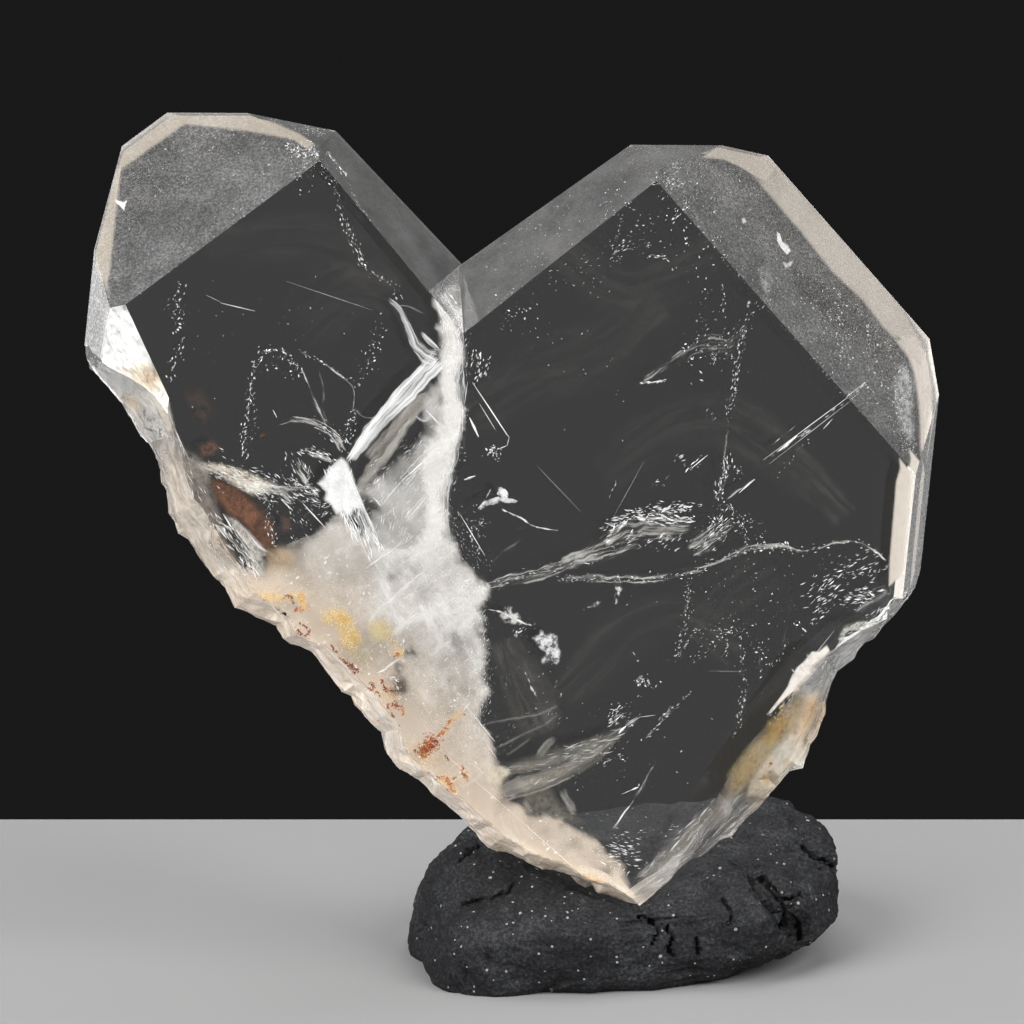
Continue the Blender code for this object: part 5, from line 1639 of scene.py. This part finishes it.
def inside_the_quartz():
    """Everything that shows inside the clear twin."""
    white = ((0.30, (0.62, 0.61, 0.60)), (0.62, (0.82, 0.82, 0.81)))
    pale = ((0.30, (0.80, 0.79, 0.78)), (0.60, (0.97, 0.97, 0.97)))
    glass = ((0.35, (0.70, 0.67, 0.62)), (0.60, (0.96, 0.94, 0.90)))
    sand = ((0.35, (0.60, 0.55, 0.48)), (0.65, (0.80, 0.76, 0.70)))
    rust = ((0.0, (0.64, 0.24, 0.05)), (0.5, (0.38, 0.08, 0.018)), (1.0, (0.15, 0.028, 0.01)))
    amber = ((0.0, (0.82, 0.62, 0.25)), (0.5, (0.78, 0.42, 0.08)), (1.0, (0.60, 0.22, 0.05)))
    cloud_sheets("milky_cloud", cloud_material())
    # The pale bands are painted reflection of the back end faces.
    patches("painted_reflection_bands", REFLECTION_BAND_PATCHES, patch_material("painted_reflection_band"))
    patches("white_patches", WHITE_PATCHES, patch_material("white_patch"))
    patches("iron_stains", STAIN_PATCHES, patch_material("iron_stain"))
    patches("wall_haze", WALL_PATCHES, patch_material("wall_haze"))
    seam = veil_material("seam_veil", white, 0.9, (0.28, 0.62), (0.30, 8.0), 0.0, 0.30)
    crack = veil_material("crack_veil", glass, 0.85, (0.42, 0.66), (0.5, 6.0), 0.12, 0.15)
    tuft = veil_material("tuft_veil", pale, 1.0, (0.34, 0.50), (1.2, 3.0), 0.5, 0.30)
    blade = veil_material("blade_veil", sand, 0.65, (0.15, 0.78), (0.2, 1.8), 0.0, 0.25)
    veils("white_seam", SEAM_VEILS, seam, 1.0)
    veils("healed_cracks", CRACK_VEILS, crack, 21.0)
    veils("white_tufts", TUFT_VEILS, tuft, 61.0)
    veils("pale_blades", BLADE_VEILS, blade, 101.0)
    pure = ((0.0, (0.96, 0.96, 0.95)), (1.0, (0.99, 0.99, 0.99)))
    bright = plain_veil("bright_crack", pure)
    slivers("bright_slivers", SLIVERS, bright, 9)
    needles("bright_needles", NEEDLES, bright)
    flecks("fine_flecks", FLECK_AREAS, bright, 4)
    rust_marks("rust_marks", RUST_MARKS, 2.4, 0.35, 1.2, plain_veil("red_iron", rust), 5)
    rust_marks("amber_grains", AMBER_GRAINS, 0.8, 0.3, 0.8, plain_veil("amber_iron", amber), 6)


def crack_depth(point, normal):
    """Depth of the putty's cracks at a point on the side that is seen."""
    if normal.z * math.sin(CAMERA_PITCH) < normal.y * math.cos(CAMERA_PITCH):
        return 0.0
    up = point.z * math.cos(CAMERA_PITCH) + point.y * math.sin(CAMERA_PITCH)
    spot = Vector((point.x, up)) / MM
    for size, reach in ((0.8, 0.20), (0.3, 0.12)):
        place = point / (size * MM)
        spot += Vector((noise.noise(place), noise.noise(place + Vector((5, 5, 5))))) * reach
    deepest = 0.0
    for path, half, depth in PUTTY_CRACKS:
        share = 1.0 - line_distance(spot, path) / half
        deepest = max(deepest, min(1.0, share * 1.6) * depth)
    return deepest * MM


def putty():
    """The crumbly putty: the solid's own form with fine crumbs and cracks."""
    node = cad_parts["putty_lump"]
    bm = bmesh.new()
    bm.from_mesh(node.data)
    bm.transform(node.matrix_world)
    bmesh.ops.remove_doubles(bm, verts=bm.verts, dist=WELD)
    lowest = min(vertex.co.z for vertex in bm.verts)
    for _ in range(4):
        edges = [edge for edge in bm.edges if edge.calc_length() > PUTTY_EDGE]
        bmesh.ops.subdivide_edges(bm, edges=edges, cuts=1)
        bmesh.ops.triangulate(bm, faces=bm.faces[:])
    bm.normal_update()
    moves = []
    for vertex in bm.verts:
        point = vertex.co
        crumbs = noise.fractal(point / (1.3 * MM), 0.8, 2.1, 4) * PUTTY_CRUMB
        away = (point - CRUMBLY_PLACE).length / CRUMBLY_REACH
        crumbly = math.exp(-away * away) + max(0.0, noise.noise(point / (4.0 * MM) + Vector((3, 1, 2))))
        lumps = 0.55 - noise.voronoi(point / (0.60 * MM))[0][0]
        grains = 0.5 - noise.voronoi(point / (0.28 * MM))[0][0]
        grain = (lumps * crumbly * 1.6 + grains * (0.4 + crumbly)) * PUTTY_GRAIN
        rise = min(1.0, max(0.0, (point.z - lowest) / (1.0 * MM)))
        moves.append((crumbs + grain - 0.06 * MM - crack_depth(point, vertex.normal)) * rise)
    for vertex, move in zip(bm.verts, moves):
        vertex.co += vertex.normal * move
        vertex.co.z = max(vertex.co.z, lowest)
    mesh = bpy.data.meshes.new("putty_crumbly")
    bm.to_mesh(mesh)
    bm.free()
    mesh.materials.append(putty_material())
    piece = link("putty_crumbly", mesh)
    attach(piece, "root")
    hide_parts("putty_lump")


def area_light(name, place, aim, width, height, radiance):
    """A softbox that shines from one place to another with this radiance."""
    data = bpy.data.lights.new(name, "AREA")
    data.shape = "RECTANGLE"
    data.size = width
    data.size_y = height
    data.energy = radiance * math.pi * width * height
    light = bpy.data.objects.new(name, data)
    bpy.context.collection.objects.link(light)
    light.location = place
    light.rotation_euler = (Vector(aim) - Vector(place)).to_track_quat("-Z", "Y").to_euler()
    light.visible_camera = False


def stage():
    """Floor, lights, camera and the dark surroundings."""
    bm = bmesh.new()
    bmesh.ops.create_cube(bm, size=1.0)
    bmesh.ops.scale(bm, vec=(0.09, 0.075, 0.004), verts=bm.verts)
    bmesh.ops.translate(bm, vec=(0.0, -0.012, -0.002), verts=bm.verts)
    mesh = bpy.data.meshes.new("floor")
    bm.to_mesh(mesh)
    bm.free()
    floor = link("floor", mesh)
    material, tree, shader = shader_nodes("floor")
    shader.inputs["Base Color"].default_value = (0.26, 0.26, 0.26, 1.0)
    shader.inputs["Roughness"].default_value = 0.9
    mesh.materials.append(material)

    aim = (0.0, 0.0, 0.025)
    area_light("left_softbox", (-0.50, -0.38, 0.52), aim, 0.5, 0.5, 8.6)
    area_light("right_softbox", (0.52, -0.34, 0.52), aim, 0.5, 0.5, 8.0)
    area_light("top_softbox", (0.0, 0.15, 0.70), aim, 0.5, 0.4, 5.0)
    area_light("front_fill", (0.3, -1.2, 0.4), aim, 1.4, 1.4, 0.44)
    area_light("low_softbox", (-0.55, -0.36, -0.04), aim, 0.3, 0.3, 6.2)

    world = bpy.data.worlds.new("dark_room")
    world.use_nodes = True
    world.node_tree.nodes["Background"].inputs["Color"].default_value = (0.0100, 0.0100, 0.0100, 1.0)
    bpy.context.scene.world = world

    data = bpy.data.cameras.new("camera")
    data.lens = LENS_MM
    data.sensor_width = SENSOR_MM
    data.clip_start = 0.01
    data.clip_end = 10.0
    camera = bpy.data.objects.new("camera", data)
    bpy.context.collection.objects.link(camera)
    camera.location = CAMERA_PLACE
    camera.rotation_euler = (math.pi / 2 - CAMERA_PITCH, 0.0, 0.0)
    scene = bpy.context.scene
    scene.camera = camera
    scene.view_settings.view_transform = "Standard"
    scene.cycles.caustics_refractive = False
    scene.cycles.caustics_reflective = False
    scene.cycles.transparent_max_bounces = 32


solid = plate_copy(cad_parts["quartz_twin"])
SURFACE = BVHTree.FromBMesh(solid)
solid.free()

stage()
twin()
inside_the_quartz()
putty()
